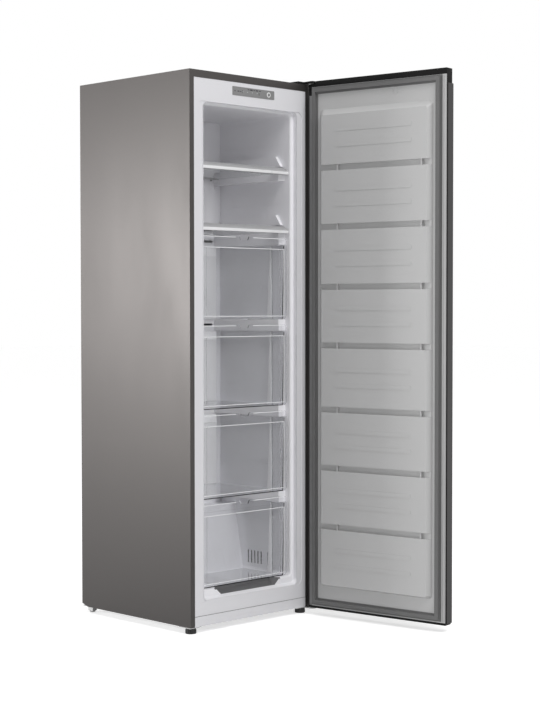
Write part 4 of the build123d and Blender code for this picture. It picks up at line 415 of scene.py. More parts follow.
def baked_paint(name, colour, rough=0.36, metallic=0.7, flange=None):
    """Baked paint with flakes and orange peel, with painted shade toward the floor and a plain, darker painted
    shade on the flange.
    """
    material, tree, shader = blank(name)
    paint = use_group(tree, "Flake paint", Flake_Scale=1400.0)
    marks = use_group(tree, "Handling", Dust_Height=LOW_SHADE_HEIGHT)
    tint(tree, shader, colour, paint.outputs["Flakes"], dark=0.78, share=0.5)
    # painted shade on the front flange, plain and darker than the flaked paint
    if flange is not None:
        target = shader.inputs["Base Color"]
        flaked = target.links[0].from_socket
        plain = darker(colour, FLANGE_PAINTED_SHADE)
        tree.links.new(mixed(tree, flaked, plain, ahead_of(tree, flange)), target)
    # painted shade, darker toward the floor
    shade_stretch(material, marks.outputs["Dust"], FLOOR_PAINTED_SHADE)
    shader.inputs["Metallic"].default_value = metallic
    smear(tree, shader, marks, rough, more=0.12)
    add_bump(tree, shader, paint.outputs["Height"], depth=0.00005)
    return material


def sheet_metal(name, colour, rough=0.35, scale=60.0, cells=0.5):
    """Bare or plated metal with rolling lines and faint cells."""
    material, tree, shader = blank(name)
    brushing = use_group(tree, "Brushing", Scale=scale)
    marks = use_group(tree, "Handling")
    tint(tree, shader, colour, brushing.outputs["Cells"], dark=0.72, share=cells)
    shader.inputs["Metallic"].default_value = 1.0
    smear(tree, shader, marks, rough, more=0.2)
    add_bump(tree, shader, brushing.outputs["Height"], depth=0.00002)
    return material


def soft_rubber(name, colour):
    """Vinyl or rubber, matte, with a fine grain."""
    material, tree, shader = blank(name)
    grained = use_group(tree, "Moulded grain", Scale=1500.0)
    marks = use_group(tree, "Handling")
    tint(tree, shader, colour, grained.outputs["Shade"], dark=0.6, share=0.4)
    smear(tree, shader, marks, rough=0.6, more=0.25)
    add_bump(tree, shader, grained.outputs["Height"], depth=0.00008)
    return material


def let_light_through(tree, shader, share):
    """Alpha that lets this share of the lamps' and the room's light pass straight through."""
    path = tree.nodes.new("ShaderNodeLightPath")
    passing = maths(tree, "MAXIMUM", path.outputs["Is Shadow Ray"], path.outputs["Is Diffuse Ray"])
    tree.links.new(maths(tree, "MULTIPLY_ADD", passing, -share, 1.0), shader.inputs["Alpha"])


def clear_plastic(name, colour):
    """Clear moulded plastic, faintly cloudy, with a trace of grain on its faces."""
    material, tree, shader = blank(name)
    marks = use_group(tree, "Handling")
    grained = use_group(tree, "Moulded grain", Scale=120.0)
    tint(tree, shader, colour, grained.outputs["Shade"], dark=0.92, share=0.5)
    shader.inputs["Transmission Weight"].default_value = 1.0
    shader.inputs["IOR"].default_value = PLASTIC_IOR
    smear(tree, shader, marks, rough=0.015, more=0.05)
    add_bump(tree, shader, grained.outputs["Height"], depth=0.00002)
    let_light_through(tree, shader, share=0.97)
    return material


def pale_highlight_plastic(name, colour):
    """Matte whitish plastic for the drawers' beads, ribs and rear walls: painted highlights along the edges and
    ribs, and painted light on the rear walls.
    """
    material, tree, shader = blank(name)
    grained = use_group(tree, "Moulded grain", Scale=1200.0)
    marks = use_group(tree, "Handling")
    tint(tree, shader, colour, grained.outputs["Shade"], dark=0.85, share=0.4)
    smear(tree, shader, marks, rough=0.4, more=0.2)
    add_bump(tree, shader, grained.outputs["Height"], depth=0.00005)
    let_light_through(tree, shader, share=0.6)
    return material


def shelf_glass(name, colour):
    """Tempered glass with a trace of green and of smears."""
    material, tree, shader = blank(name)
    marks = use_group(tree, "Handling")
    tint(tree, shader, colour, marks.outputs["Smears"], dark=0.9, share=0.5)
    shader.inputs["Transmission Weight"].default_value = 1.0
    shader.inputs["IOR"].default_value = GLASS_IOR
    smear(tree, shader, marks, rough=0.02, more=0.06)
    let_light_through(tree, shader, share=0.97)
    return material


def rigid_foam(name, colour):
    """Blown foam with open cells."""
    material, tree, shader = blank(name)
    grained = use_group(tree, "Moulded grain", Scale=260.0)
    tint(tree, shader, colour, grained.outputs["Height"], dark=0.6, share=0.7)
    shader.inputs["Roughness"].default_value = 0.9
    add_bump(tree, shader, grained.outputs["Height"], depth=0.0006)
    return material


def build_paints(case, door):
    """The painted finishes, by the name of their slot in the record."""
    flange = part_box("outer_wrapper")[0].y + FLANGE_DEPTH
    soot = (0.015, 0.015, 0.016)
    return {
        "case_paint": baked_paint("Cabinet paint", case, flange=flange),
        # painted shade: a darker copy of the case's paint
        "door_paint": baked_paint("Door paint", door),
        "coil_paint": baked_paint("Coil enamel", (0.02, 0.02, 0.02), rough=0.3, metallic=0.0),
        "compressor_paint": baked_paint("Compressor paint", soot, rough=0.35, metallic=0.0),
    }


def build_metals(zinc, copper):
    """The metal finishes, by the name of their slot in the record."""
    fins = (0.72, 0.73, 0.74)
    tubes = (0.68, 0.69, 0.7)
    return {
        "zinc_sheet": sheet_metal("Zinc sheet", zinc, rough=0.45, scale=30.0, cells=0.45),
        "hinge_steel": sheet_metal("Hinge steel", darker(zinc, 0.85)),
        "screw_steel": sheet_metal("Screw steel", zinc, rough=0.25, scale=200.0, cells=0.2),
        "pin_steel": sheet_metal("Pin steel", zinc, rough=0.18, scale=300.0, cells=0.1),
        "heater_steel": sheet_metal("Heater sheath", darker(zinc, 0.75)),
        "fin_aluminium": sheet_metal("Fin aluminium", fins, rough=0.3, scale=80.0, cells=0.2),
        "tube_aluminium": sheet_metal("Tube aluminium", tubes, scale=80.0, cells=0.3),
        "copper": sheet_metal("Copper tube", copper, rough=0.3, scale=90.0, cells=0.4),
    }


def build_plastics(liner, door_liner, trim, panel, dark):
    """The moulded finishes, by the name of their slot in the record."""
    plastic = moulded_plastic
    lens = (0.62, 0.68, 0.66)
    return {
        "liner_plastic": liner_plastic("Liner plastic", liner),
        # painted shade: a darker copy of the white liner plastic
        "door_liner_plastic": plastic("Door liner plastic", door_liner, rough=0.3, grain=700.0),
        "cover_plastic": plastic("Cover plastic", liner, grain=800.0),
        "trim_plastic": plastic("Shelf trim plastic", trim, rough=0.28),
        "bezel_plastic": plastic("Panel plastic", panel, rough=0.3, grain=1100.0),
        "board_plastic": plastic("Board resin", (0.02, 0.16, 0.06), rough=0.4, grain=500.0),
        "button_plastic": plastic("Button plastic", darker(panel, 1.25), rough=0.25),
        "lens_plastic": plastic("Lens plastic", lens, rough=0.15, coat=0.6),
        "dark_plastic": plastic(
            "Black plastic", dark, rough=0.5, grain=1000.0, depth=0.00005, gloss=0.15
        ),
        "foot_plastic": plastic("Foot plastic", darker(dark, 1.4), rough=0.5, depth=0.00006),
        "roller_plastic": plastic("Roller nylon", (0.26, 0.26, 0.26), rough=0.4),
        "bush_plastic": plastic("Bush nylon", (0.72, 0.72, 0.68), rough=0.4),
        "fan_plastic": plastic("Fan plastic", (0.2, 0.2, 0.21), rough=0.4),
        "motor_plastic": plastic("Motor plastic", (0.05, 0.05, 0.05), rough=0.45),
        "shroud_plastic": plastic("Duct plastic", (0.62, 0.62, 0.62), rough=0.45),
    }


def build_materials(colours):
    """One material for each finish of the freezer, by the name of its slot in the record."""
    tone = {label: tuple(getattr(colours, label)) for label in colours.__annotations__}
    return {
        **build_paints(tone["case"], tone["door"]),
        **build_metals(tone["zinc"], tone["copper"]),
        **build_plastics(
            tone["liner"], tone["door_liner"], tone["trim"], tone["panel"], tone["dark"]
        ),
        "clear_plastic": clear_plastic("Clear drawer plastic", tone["drawer"]),
        "shelf_glass": shelf_glass("Shelf glass", tone["glass"]),
        "gasket_rubber": soft_rubber("Gasket vinyl", tone["gasket"]),
        "magnet_rubber": soft_rubber("Magnet strip", (0.04, 0.04, 0.04)),
        "mount_rubber": soft_rubber("Mount rubber", (0.03, 0.03, 0.03)),
        "foam": rigid_foam("Rigid foam", (0.72, 0.62, 0.36)),
    }


def dress(materials):
    """Gives each CAD node the material of its slot."""
    for name in sorted(frame["nodes"]):
        shape = frame["nodes"][name]
        shape.data.materials.clear()
        shape.data.materials.append(materials[SLOTS[name]])


# ---- Stage -------------------------------------------------------------------------------------


def seen_strength(tree, shown, lit):
    """A strength that the camera, mirrors and glass see, and another one for the other rays."""
    path = tree.nodes.new("ShaderNodeLightPath")
    seen = maths(tree, "MAXIMUM", path.outputs["Is Camera Ray"], path.outputs["Is Glossy Ray"])
    seen = maths(tree, "MAXIMUM", seen, path.outputs["Is Transmission Ray"])
    return maths(tree, "MULTIPLY_ADD", seen, shown - lit, lit)


def light_world(sizes):
    """Soft light from all round, with a white background for what is seen directly."""
    world = bpy.data.worlds.new("Studio")
    bpy.context.scene.world = world
    world.use_nodes = True
    tree = world.node_tree
    background = tree.nodes["Background"]
    background.inputs["Color"].default_value = (1.0, 1.0, 1.0, 1.0)
    strength = seen_strength(tree, sizes.backdrop, sizes.ambient)
    tree.links.new(strength, background.inputs["Strength"])


def add_floor(sizes):
    """A plain pale floor that keeps the freezer's shadow."""
    bpy.ops.mesh.primitive_plane_add(size=sizes.floor, location=(0.0, 0.0, 0.0))
    floor = bpy.context.object
    floor.name = "studio_floor"
    material, tree, shader = blank("Studio floor")
    shader.inputs["Base Color"].default_value = (0.85, 0.85, 0.85, 1.0)
    shader.inputs["Roughness"].default_value = 0.9
    shader.inputs["Emission Color"].default_value = (1.0, 1.0, 1.0, 1.0)
    strength = seen_strength(tree, sizes.floor_glow, 0.0)
    tree.links.new(strength, shader.inputs["Emission Strength"])
    floor.data.materials.append(material)


def add_lamp(name, place, target, size, power):
    """A square soft box at this place, aimed at the target."""
    lamp = bpy.data.lights.new(name, "AREA")
    lamp.shape = "RECTANGLE"
    lamp.size, lamp.size_y = size
    lamp.energy = power
    holder = bpy.data.objects.new(name, lamp)
    holder.location = place
    aim = Vector(target) - Vector(place)
    holder.rotation_euler = aim.to_track_quat("-Z", "Y").to_euler()
    bpy.context.scene.collection.objects.link(holder)


def add_camera(view):
    """The photograph's view: place, heading, pitch and roll fitted to the freezer's own edges."""
    camera = bpy.data.cameras.new("Camera")
    camera.sensor_fit = "VERTICAL"
    camera.sensor_height = 36.0
    camera.lens = view.lens
    holder = bpy.data.objects.new("Camera", camera)
    level = math.cos(view.pitch)
    ahead = Vector(
        (math.sin(view.heading) * level, math.cos(view.heading) * level, math.sin(view.pitch))
    )
    turned = ahead.to_track_quat("-Z", "Y").to_matrix().to_4x4()
    rolled = turned @ Matrix.Rotation(view.roll, 4, "Z")
    holder.matrix_world = Matrix.Translation(view.place) @ rolled
    bpy.context.scene.collection.objects.link(holder)
    bpy.context.scene.camera = holder


# ---- Making and shaping ------------------------------------------------------------------------


def activate(piece):
    """Selects one piece alone and makes it the active one."""
    bpy.ops.object.select_all(action="DESELECT")
    piece.select_set(True)
    bpy.context.view_layer.objects.active = piece


def settle(piece):
    """Puts the piece's place, turn and scale into its mesh."""
    activate(piece)
    bpy.ops.object.transform_apply(location=True, rotation=True, scale=True)


def start_box(name, low, high):
    """A box between two corners, to be shaped further."""
    bpy.ops.object.select_all(action="DESELECT")
    low = Vector(low)
    high = Vector(high)
    bpy.ops.mesh.primitive_cube_add(size=1.0, location=(low + high) / 2)
    piece = bpy.context.object
    piece.name = name
    piece.scale = high - low
    settle(piece)
    return piece


def choose_faces(piece, test):
    """Enters edit mode with the faces selected whose centre and normal pass the test."""
    activate(piece)
    bpy.ops.object.mode_set(mode="EDIT")
    bpy.ops.mesh.select_mode(type="FACE")
    bpy.ops.mesh.select_all(action="DESELECT")
    bpy.ops.object.mode_set(mode="OBJECT")
    for face in piece.data.polygons:
        face.select = test(face.center, face.normal)
    bpy.ops.object.mode_set(mode="EDIT")


def score_across(piece, axis, cuts):
    """Cuts the piece's faces with planes square to the axis, at these places along it."""
    activate(piece)
    bpy.ops.object.mode_set(mode="EDIT")
    normal = [0.0, 0.0, 0.0]
    normal["xyz".index(axis)] = 1.0
    for cut in cuts:
        bpy.ops.mesh.select_all(action="SELECT")
        bpy.ops.mesh.bisect(plane_co=[part * cut for part in normal], plane_no=normal)
    bpy.ops.object.mode_set(mode="OBJECT")


def pull_faces(piece, test, move):
    """Extrudes the faces that pass the test by this move."""
    choose_faces(piece, test)
    bpy.ops.mesh.extrude_region_move(TRANSFORM_OT_translate={"value": move})
    bpy.ops.object.mode_set(mode="OBJECT")


def round_edges(piece, width, segments=2):
    """Rounds the sharp edges and smooths the shading between them."""
    activate(piece)
    bevel = piece.modifiers.new("Round", "BEVEL")
    bevel.width = width
    bevel.segments = segments
    bevel.limit_method = "ANGLE"
    bevel.angle_limit = SHARP
    bpy.ops.object.modifier_apply(modifier=bevel.name)
    bpy.ops.object.shade_smooth_by_angle(angle=SMOOTH)


def join_pieces(name, pieces):
    """Joins several meshes to one piece."""
    activate(pieces[0])
    for piece in pieces[1:]:
        piece.select_set(True)
    bpy.ops.object.join()
    pieces[0].name = name
    pieces[0].data.name = name
    return pieces[0]


def hang_on_door(piece):
    """Turns a piece that was made on the closed door to where the door stands open."""
    hinge = next(joint for joint in frame["joints"] if joint["name"] == "door_hinge")
    pivot = Matrix.Translation(Vector(hinge["pos_m"]))
    turn = Matrix.Rotation(math.radians(-hinge["range_deg"][0]), 4, "Z")
    piece.matrix_world = pivot @ turn @ pivot.inverted() @ piece.matrix_world
    settle(piece)


def place_piece(piece, body, like, material=None):
    """Mounts a finished piece on its body, with the finish of a CAD node or another one."""
    piece.data.materials.clear()
    piece.data.materials.append(material or frame["nodes"][like].data.materials[0])
    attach(piece, body)


# ---- Pieces ------------------------------------------------------------------------------------


def build_drawer_beads(number, sizes, frosted):
    """Beads round a drawer's window and along its upper edge, in pale plastic that paints the highlights on its
    edges.
    """
    node = f"drawer_{number}"
    low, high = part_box(node)
    bead = sizes.drawer_bead
    header = high.z - DRAWER_HEADER
    half = high.x - DRAWER_EDGE
    foot = low.z + DRAWER_SILL
    upper = high.z - bead
    bars = (
        ((-half, foot), (half, foot + bead)),
        ((-half, header), (half, header + bead)),
        ((-half, foot), (-half + bead, header)),
        ((half - bead, foot), (half, header)),
        ((-half, upper - bead), (-GRIP_HALF, upper)),
        ((GRIP_HALF, upper - bead), (half, upper)),
    )
    front = low.y - bead * BEAD_PROUD
    back = low.y + bead * BEAD_SUNK
    beads = []
    for (left, base), (right, top) in bars:
        bar = start_box("bead", (left, front, base), (right, back, top))
        round_edges(bar, bead * BEAD_ROUND, segments=3)
        beads.append(bar)
    whole = join_pieces(f"{node}_beads", beads)
    place_piece(whole, DRAWER_BODIES[number - 1], node, frosted)


def build_drawer_ribs(number, frosted):
    """Tapered ribs along the sides of a drawer's tub, a little behind its front, in pale plastic that paints a
    highlight.
    """
    node = f"drawer_{number}"
    low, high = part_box(node)
    rim = high.z - RIM_BELOW_FRONT
    ribs = []
    for side in (-1, 1):
        foot_x = side * (high.x - TUB_LOW_IN)
        rim_x = side * (high.x - TUB_TOP_IN)
        rib = start_box("rib", (-RIB_T / 2, -0.5, 0.0), (RIB_T / 2, 0.5, 1.0))
        for corner in rib.data.vertices:
            at_rim = corner.co.z > 0.5
            width = RIB_TOP if at_rim else RIB_LOW
            corner.co.x += rim_x if at_rim else foot_x
            corner.co.y = low.y + RIB_BACK + corner.co.y * width
            corner.co.z = rim if at_rim else low.z + TUB_FLOOR
        round_edges(rib, SHEET_ROUND)
        ribs.append(rib)
    whole = join_pieces(f"{node}_ribs", ribs)
    place_piece(whole, DRAWER_BODIES[number - 1], node, frosted)


def build_drawer_back(number, frosted):
    """A pale rear wall inside a drawer's tub, with a bead near its rim, whose colour paints the light on the back
    behind it.
    """
    node = f"drawer_{number}"
    low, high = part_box(node)
    back = high.y - TUB_WALL - REAR_GAP
    half = high.x - TUB_LOW_IN - REAR_CORNER
    rim = high.z - RIM_BELOW_FRONT
    base = low.z + TUB_FLOOR
    sheet = start_box(f"{node}_rear", (-half, back - REAR_T, base), (half, back, rim))
    bead_low, bead_high = (rim - drop for drop in REAR_BEAD)
    score_across(sheet, "z", (bead_low, bead_high))
    pull_faces(
        sheet,
        lambda centre, normal: normal.y < -FACING and bead_low < centre.z < bead_high,
        (0.0, -REAR_BEAD_PROUD, 0.0),
    )
    round_edges(sheet, SHEET_ROUND)
    place_piece(sheet, DRAWER_BODIES[number - 1], node, frosted)


def build_shelf_lip(shelf, sizes, lip_highlight):
    """The rounded lip along a shelf's front strip, whose light colour is a painted highlight."""
    low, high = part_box(f"{shelf}_trims")
    lip = start_box(
        f"{shelf}_lip",
        (low.x + LIP_IN, low.y - LIP_PROUD, low.z + LIP_UP),
        (high.x - LIP_IN, low.y - LIP_GAP, low.z + sizes.shelf_lip),
    )
    score_across(lip, "z", (low.z + sizes.shelf_lip * LIP_CREASE,))
    round_edges(lip, LIP_ROUND, segments=3)
    place_piece(lip, shelf, f"{shelf}_trims", lip_highlight)


def build_panel_marks(ink):
    """Plain dashes and dots on the control strip, with no letters or signs."""
    low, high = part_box("control_bezel")
    middle = (low.z + high.z) / 2
    front = low.y - MARK_PROUD
    back = low.y - MARK_GAP
    marks = []
    for left, width, rise, tall in PANEL_MARKS:
        base = middle + rise - tall / 2
        mark = start_box("mark", (left, front, base), (left + width, back, base + tall))
        round_edges(mark, MARK_ROUND)
        marks.append(mark)
    place_piece(join_pieces("panel_marks", marks), "cabinet", "control_bezel", ink)


def build_button_ring(sizes, white):
    """A raised, flattened white ring round the button."""
    low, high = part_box("control_button")
    centre = (low + high) / 2
    centre.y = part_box("control_bezel")[0].y
    bpy.ops.mesh.primitive_torus_add(
        location=centre,
        rotation=FORWARD,
        major_segments=40,
        minor_segments=10,
        major_radius=sizes.button_ring,
        minor_radius=RING_W,
    )
    ring = bpy.context.object
    ring.name = "button_ring"
    settle(ring)
    choose_faces(ring, lambda centre, normal: True)
    bpy.ops.transform.resize(value=(1.0, RING_FLAT, 1.0), center_override=centre)
    bpy.ops.object.mode_set(mode="OBJECT")
    bpy.ops.object.shade_smooth_by_angle(angle=math.radians(60.0))
    place_piece(ring, "cabinet", "control_bezel", white)


def build_button_dot(ink):
    """A small dot on the button itself."""
    low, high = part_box("control_button")
    centre = (low + high) / 2
    centre.y = low.y - DOT_PROUD
    bpy.ops.object.select_all(action="DESELECT")
    bpy.ops.mesh.primitive_cylinder_add(
        vertices=24,
        radius=DOT_R,
        depth=DOT_T,
        location=centre,
        rotation=FORWARD,
    )
    dot = bpy.context.object
    dot.name = "button_dot"
    settle(dot)
    round_edges(dot, DOT_ROUND)
    place_piece(dot, "button", "control_button", ink)


def build_vent_shadow(slot_shadow):
    """Dark mesh behind each slot of the return-air grille, with wires across it, as a painted shadow in the slots.
    """
    low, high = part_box("return_air_grille")
    foot = low.z + VENT_MARGIN
    wires = [foot + VENT_WIRE * row for row in range(VENT_ROWS)]
    strips = []
    for slot in VENT_SLOTS:
        front = low.y + slot
        strip = start_box(
            "vent",
            (low.x + VENT_MESH[0], front, foot),
            (low.x + VENT_MESH[1], front + VENT_SLOT_W, high.z - VENT_MARGIN),
        )
        score_across(strip, "z", wires[1:])
        for base in wires[::2]:
            top = base + VENT_WIRE
            pull_faces(
                strip,
                lambda centre, normal: normal.x < -FACING and base < centre.z < top,
                (-VENT_WIRE_PROUD, 0.0, 0.0),
            )
        strips.append(strip)
    place_piece(join_pieces("vent_mesh", strips), "cabinet", "return_air_grille", slot_shadow)


def build_toe_groove(grey):
    """The dark joint between the liner and the toe plate."""
    low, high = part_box("toe_plate")
    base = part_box("outer_wrapper")[0].z + TOE_H
    groove = start_box(
        "toe_groove",
        (low.x + TOE_IN, low.y - TOE_PROUD, base),
        (high.x - TOE_IN, low.y + TOE_SUNK, base + TOE_JOINT),
    )
    round_edges(groove, TOE_ROUND)
    place_piece(groove, "cabinet", "toe_plate", grey)


def build_side_lip(sizes, vinyl):
    """The ribbed outer lip of the door seal, along the free side of the door."""
    side, foot = SEAL_LOW
    outer = side - sizes.seal_lip
    strip = start_box(
        "gasket_side_lip",
        (outer, DOOR_FACE, foot - SIDE_LIP_DROP),
        (side - SEAL_GAP, DOOR_FACE + SIDE_LIP_T, SEAL_TOP),
    )
    ribs = [[outer + sizes.seal_lip * share for share in rib] for rib in SIDE_RIBS]
    score_across(strip, "x", [edge for rib in ribs for edge in rib])
    for first, last in ribs:
        pull_faces(
            strip,
            lambda centre, normal: normal.y > FACING and first < centre.x < last,
            (0.0, SIDE_RIB_PROUD, 0.0),
        )
    round_edges(strip, SEAL_ROUND)
    hang_on_door(strip)
    place_piece(strip, "door", "door_gasket", vinyl)


def build_low_lip(sizes, vinyl):
    """The outer lip of the door seal, along the bottom of the door."""
    side, foot = SEAL_LOW
    strip = start_box(
        "gasket_low_lip",
        (side - sizes.seal_lip, DOOR_FACE, foot - LOW_LIP_DROP),
        (-side, DOOR_FACE + LOW_LIP_T, foot - SEAL_GAP),
    )
    score_across(strip, "z", (foot - LOW_LIP_CREASE,))
    round_edges(strip, SEAL_ROUND)
    hang_on_door(strip)
    place_piece(strip, "door", "door_gasket", vinyl)


def build_soft_copy(node, body, width):
    """A copy of a moulded CAD node with rounded edges, in the node's place."""
    source = frame["nodes"][node]
    bpy.ops.object.select_all(action="DESELECT")
    piece = bpy.data.objects.new(f"{node}_moulded", source.data.copy())
    piece.matrix_world = source.matrix_world
    bpy.context.scene.collection.objects.link(piece)
    activate(piece)
    bpy.ops.object.mode_set(mode="EDIT")
    bpy.ops.mesh.select_all(action="SELECT")
    bpy.ops.mesh.remove_doubles(threshold=0.00001)
    bpy.ops.mesh.dissolve_limited(angle_limit=math.radians(1.0))
    bpy.ops.object.mode_set(mode="OBJECT")
    settle(piece)
    round_edges(piece, width)
    place_piece(piece, body, node)
    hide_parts(node)


# ---- Settings ----------------------------------------------------------------------------------


def colour_setting(label, words, value):
    """A colour in the sidebar."""
    return bpy.props.FloatVectorProperty(
        name=label, description=words, default=value, size=3, min=0.0, max=1.0, subtype="COLOR"
    )


def length_setting(label, words, value):
    """A length in the sidebar."""
    return bpy.props.FloatProperty(
        name=label, description=words, default=value, min=0.0, subtype="DISTANCE", unit="LENGTH"
    )


def angle_setting(label, words, degrees):
    """An angle in the sidebar."""
    value = math.radians(degrees)
    return bpy.props.FloatProperty(
        name=label, description=words, default=value, subtype="ANGLE", unit="ROTATION"
    )


def number_setting(label, words, value):
    """A plain number in the sidebar."""
    return bpy.props.FloatProperty(name=label, description=words, default=value, min=0.0)


class FreezerColours(bpy.types.PropertyGroup):
    """Colours of the freezer's finishes"""

    case: colour_setting("Case", "Metallic paint of the case", (0.098, 0.091, 0.088))
    # painted shade: the door has the case's paint, given a darker colour for the shade on its edge
    door: colour_setting("Door", "Metallic paint of the door", (0.05, 0.048, 0.049))
    liner: colour_setting("Liner", "White plastic inside the cabinet", (0.875, 0.87, 0.9))
    # painted shade: the door liner is the same white plastic as the liner, darker for the shade on the door's
    # inner face
    door_liner: colour_setting("Door liner", "White plastic inside the door", (0.56, 0.56, 0.56))
    trim: colour_setting("Trim", "Plastic strips on the glass shelves", (0.45, 0.45, 0.455))
    # painted highlight: the lips' light colour stands for light falling on the front of the trims
    lip: colour_setting("Shelf lips", "Bright lips of those strips", (0.86, 0.86, 0.87))
    drawer: colour_setting("Drawers", "Clear plastic of the drawers", (0.965, 0.97, 0.98))
    # painted highlights and light: pale plastic for the beads, ribs and rear walls of the clear drawers
    frosted: colour_setting("Highlights", "Beads, ribs and rear walls", (0.95, 0.95, 0.97))
    glass: colour_setting("Glass", "Tempered glass of the shelves", (0.93, 0.965, 0.95))
    gasket: colour_setting("Seal", "Vinyl seal of the door", (0.16, 0.16, 0.16))
    seal_lip: colour_setting("Seal lips", "Outer lips of the seal", (0.52, 0.52, 0.52))
    dark: colour_setting("Black plastic", "Caps and hinge cover", (0.006, 0.006, 0.006))
    panel: colour_setting("Panel", "Control strip and frame strips", (0.24, 0.24, 0.24))
    ink: colour_setting("Ink", "Dashes and dots of the control strip", (0.035, 0.035, 0.04))
    ring: colour_setting("Ring", "Ring round the button", (0.8, 0.8, 0.8))
    # painted shadow: the dark mesh stands for the shade inside the vent slots
    vent: colour_setting("Vent", "Mesh behind the vent slots", (0.02, 0.02, 0.023))
    joint: colour_setting("Joint", "Joint above the toe plate", (0.2, 0.2, 0.2))
    zinc: colour_setting("Zinc", "Plated steel sheets and brackets", (0.5, 0.5, 0.5))
    copper: colour_setting("Copper", "Pipes of the cooling circuit", (0.6, 0.27, 0.15))


class FreezerDetails(bpy.types.PropertyGroup):
    """Sizes of the modelled details"""

    drawer_bead: length_setting("Drawer bead", "Width of the beads on the drawer fronts", 0.0022)
    shelf_lip: length_setting("Shelf lip", "Top of the lip above the strip's foot", 0.0105)
    button_ring: length_setting("Button ring", "Radius of the ring round the button", 0.0068)
    seal_lip: length_setting("Seal lip", "Width of the seal's outer lips", 0.0142)


class FreezerView(bpy.types.PropertyGroup):
    """Place and direction of the camera"""

    place: bpy.props.FloatVectorProperty(
        name="Place",
        description="Where the camera stands",
        default=(-3.6792, -4.0669, 1.054),
        subtype="TRANSLATION",
        unit="LENGTH",
    )
    heading: angle_setting("Heading", "Direction, from the back toward the right", 44.827)
    pitch: angle_setting("Pitch", "How far it looks up", -1.903)
    roll: angle_setting("Roll", "How far it leans", -0.046)
    lens: number_setting("Lens", "Focal length, in millimetres", 79.67)


class FreezerStage(bpy.types.PropertyGroup):
    """Floor and light"""

    floor: length_setting("Floor", "Width of the floor", 60.0)
    backdrop: number_setting("Backdrop", "Brightness of the background", 1.0)
    floor_glow: number_setting("Floor glow", "Brightness added to the floor", 0.52)
    ambient: number_setting("Ambient", "Soft light from all round", 0.5)
    key: number_setting("Key", "Power of the lamp in front, in watts", 215.0)
    fill: number_setting("Fill", "Power of the lamp at the left, in watts", 86.0)


# ---- Operators ---------------------------------------------------------------------------------


class FREEZER_OT_stage(bpy.types.Operator):
    """Add the floor, the lamps and the camera"""

    bl_idname = "freezer.stage"
    bl_label = "Stage"

    def execute(self, context):
        scene = context.scene
        add_camera(scene.freezer_view)
        light_world(scene.freezer_stage)
        add_floor(scene.freezer_stage)
        add_lamp(*KEY_LAMP, scene.freezer_stage.key)
        add_lamp(*SIDE_LAMP, scene.freezer_stage.fill)
        scene.view_settings.view_transform = "Standard"
        return {"FINISHED"}


class FREEZER_OT_finishes(bpy.types.Operator):
    """Give every CAD piece the material of its finish"""

    bl_idname = "freezer.finishes"
    bl_label = "Finishes"

    def execute(self, context):
        dress(build_materials(context.scene.freezer_colours))
        return {"FINISHED"}


class FREEZER_OT_drawer_trim(bpy.types.Operator):
    """Add the beads and ribs of the drawers, and the rear walls of the three deep ones, in pale plastic that
    paints highlights and light
    """

    bl_idname = "freezer.drawer_trim"
    bl_label = "Drawer trim"

    def execute(self, context):
        sizes = context.scene.freezer_details
        # pale plastic that paints the highlights and light on the clear drawers
        frosted = pale_highlight_plastic("Frosted plastic", context.scene.freezer_colours.frosted)
        for number in range(1, len(DRAWER_BODIES) + 1):
            build_drawer_beads(number, sizes, frosted)
            build_drawer_ribs(number, frosted)
            if number > 1:
                build_drawer_back(number, frosted)
        return {"FINISHED"}


class FREEZER_OT_shelf_lips(bpy.types.Operator):
    """Add the lips of the glass shelves, in a light colour that paints their highlight"""

    bl_idname = "freezer.shelf_lips"
    bl_label = "Shelf lips"

    def execute(self, context):
        colour = context.scene.freezer_colours.lip
        # painted highlight on the lips
        lip_highlight = moulded_plastic("Shelf lip plastic", colour, rough=0.25)
        for shelf in ("upper_shelf", "lower_shelf"):
            build_shelf_lip(shelf, context.scene.freezer_details, lip_highlight)
        return {"FINISHED"}


class FREEZER_OT_panel_marks(bpy.types.Operator):
    """Add the plain marks of the control strip and the ring and dot of its button"""

    bl_idname = "freezer.panel_marks"
    bl_label = "Panel marks"

    def execute(self, context):
        colours = context.scene.freezer_colours
        ink = moulded_plastic("Mark ink", colours.ink, rough=0.4, grain=1500.0, depth=0.00001)
        white = moulded_plastic("Ring plastic", colours.ring, rough=0.3)
        build_panel_marks(ink)
        build_button_ring(context.scene.freezer_details, white)
        build_button_dot(ink)
        return {"FINISHED"}


class FREEZER_OT_shadow_lines(bpy.types.Operator):
    """Add the dark mesh behind the vent slots, a painted shadow, and the joint above the toe plate"""

    bl_idname = "freezer.shadow_lines"
    bl_label = "Vent mesh and toe joint"

    def execute(self, context):
        colours = context.scene.freezer_colours
        # painted shadow in the vent slots
        slot_shadow = moulded_plastic("Vent mesh", colours.vent, rough=0.7, grain=1200.0, gloss=0.2)
        grey = moulded_plastic("Joint grey", colours.joint, rough=0.6)
        build_vent_shadow(slot_shadow)
        build_toe_groove(grey)
        return {"FINISHED"}


class FREEZER_OT_door_trim(bpy.types.Operator):
    """Add the outer lips of the door seal"""

    bl_idname = "freezer.door_trim"
    bl_label = "Door trim"

    def execute(self, context):
        sizes = context.scene.freezer_details
        vinyl = soft_rubber("Seal lip vinyl", context.scene.freezer_colours.seal_lip)
        build_side_lip(sizes, vinyl)
        build_low_lip(sizes, vinyl)
        return {"FINISHED"}


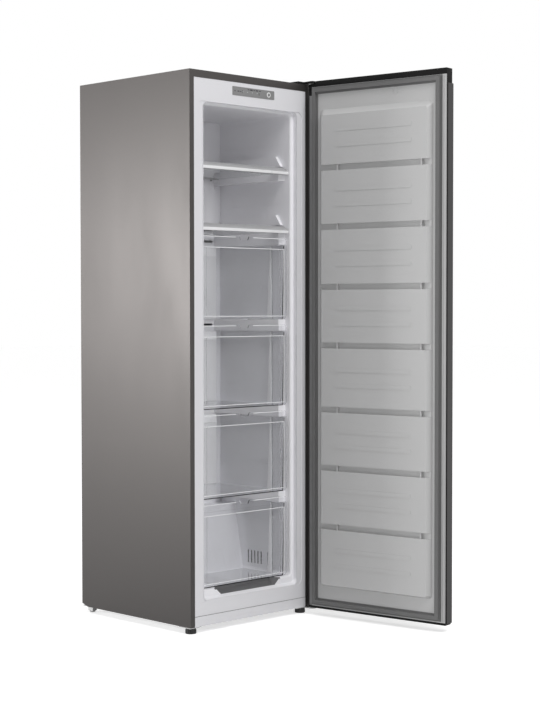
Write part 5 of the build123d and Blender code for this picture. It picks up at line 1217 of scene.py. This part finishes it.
class FREEZER_OT_moulded_edges(bpy.types.Operator):
    """Round the edges of the door's caps, the hinge cover and the shelf strips"""

    bl_idname = "freezer.moulded_edges"
    bl_label = "Moulded edges"

    def execute(self, context):
        for node, body, width in SOFT_NODES:
            build_soft_copy(node, body, width)
        return {"FINISHED"}


class FREEZER_PT_sidebar(bpy.types.Panel):
    """Settings and pieces of the freezer"""

    bl_idname = "FREEZER_PT_sidebar"
    bl_label = "Upright Freezer"
    bl_space_type = "VIEW_3D"
    bl_region_type = "UI"
    bl_category = "Freezer"

    def draw(self, context):
        layout = self.layout
        for settings in SETTINGS:
            group = getattr(context.scene, settings)
            box = layout.box()
            for label in group.__annotations__:
                box.prop(group, label)
        for operator in OPERATORS:
            layout.operator(operator.bl_idname)


SETTINGS = {
    "freezer_colours": FreezerColours,
    "freezer_details": FreezerDetails,
    "freezer_view": FreezerView,
    "freezer_stage": FreezerStage,
}
OPERATORS = (
    FREEZER_OT_stage,
    FREEZER_OT_finishes,
    FREEZER_OT_drawer_trim,
    FREEZER_OT_shelf_lips,
    FREEZER_OT_panel_marks,
    FREEZER_OT_shadow_lines,
    FREEZER_OT_door_trim,
    FREEZER_OT_moulded_edges,
)


def register():
    """Adds the settings, the operators and the sidebar."""
    for name, group in SETTINGS.items():
        bpy.utils.register_class(group)
        setattr(bpy.types.Scene, name, bpy.props.PointerProperty(type=group))
    for operator in OPERATORS:
        bpy.utils.register_class(operator)
    bpy.utils.register_class(FREEZER_PT_sidebar)


def unregister():
    """Takes away what register adds."""
    bpy.utils.unregister_class(FREEZER_PT_sidebar)
    for operator in reversed(OPERATORS):
        bpy.utils.unregister_class(operator)
    for name, group in reversed(list(SETTINGS.items())):
        delattr(bpy.types.Scene, name)
        bpy.utils.unregister_class(group)


def run_operator(operator):
    """Calls an operator by its identifier, with nothing selected before it."""
    bpy.ops.object.select_all(action="DESELECT")
    family, name = operator.bl_idname.split(".")
    getattr(getattr(bpy.ops, family), name)()


def main():
    """Registers the add-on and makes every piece."""
    register()
    for operator in OPERATORS:
        run_operator(operator)
    bpy.context.view_layer.update()


if __name__ == "__main__":
    main()
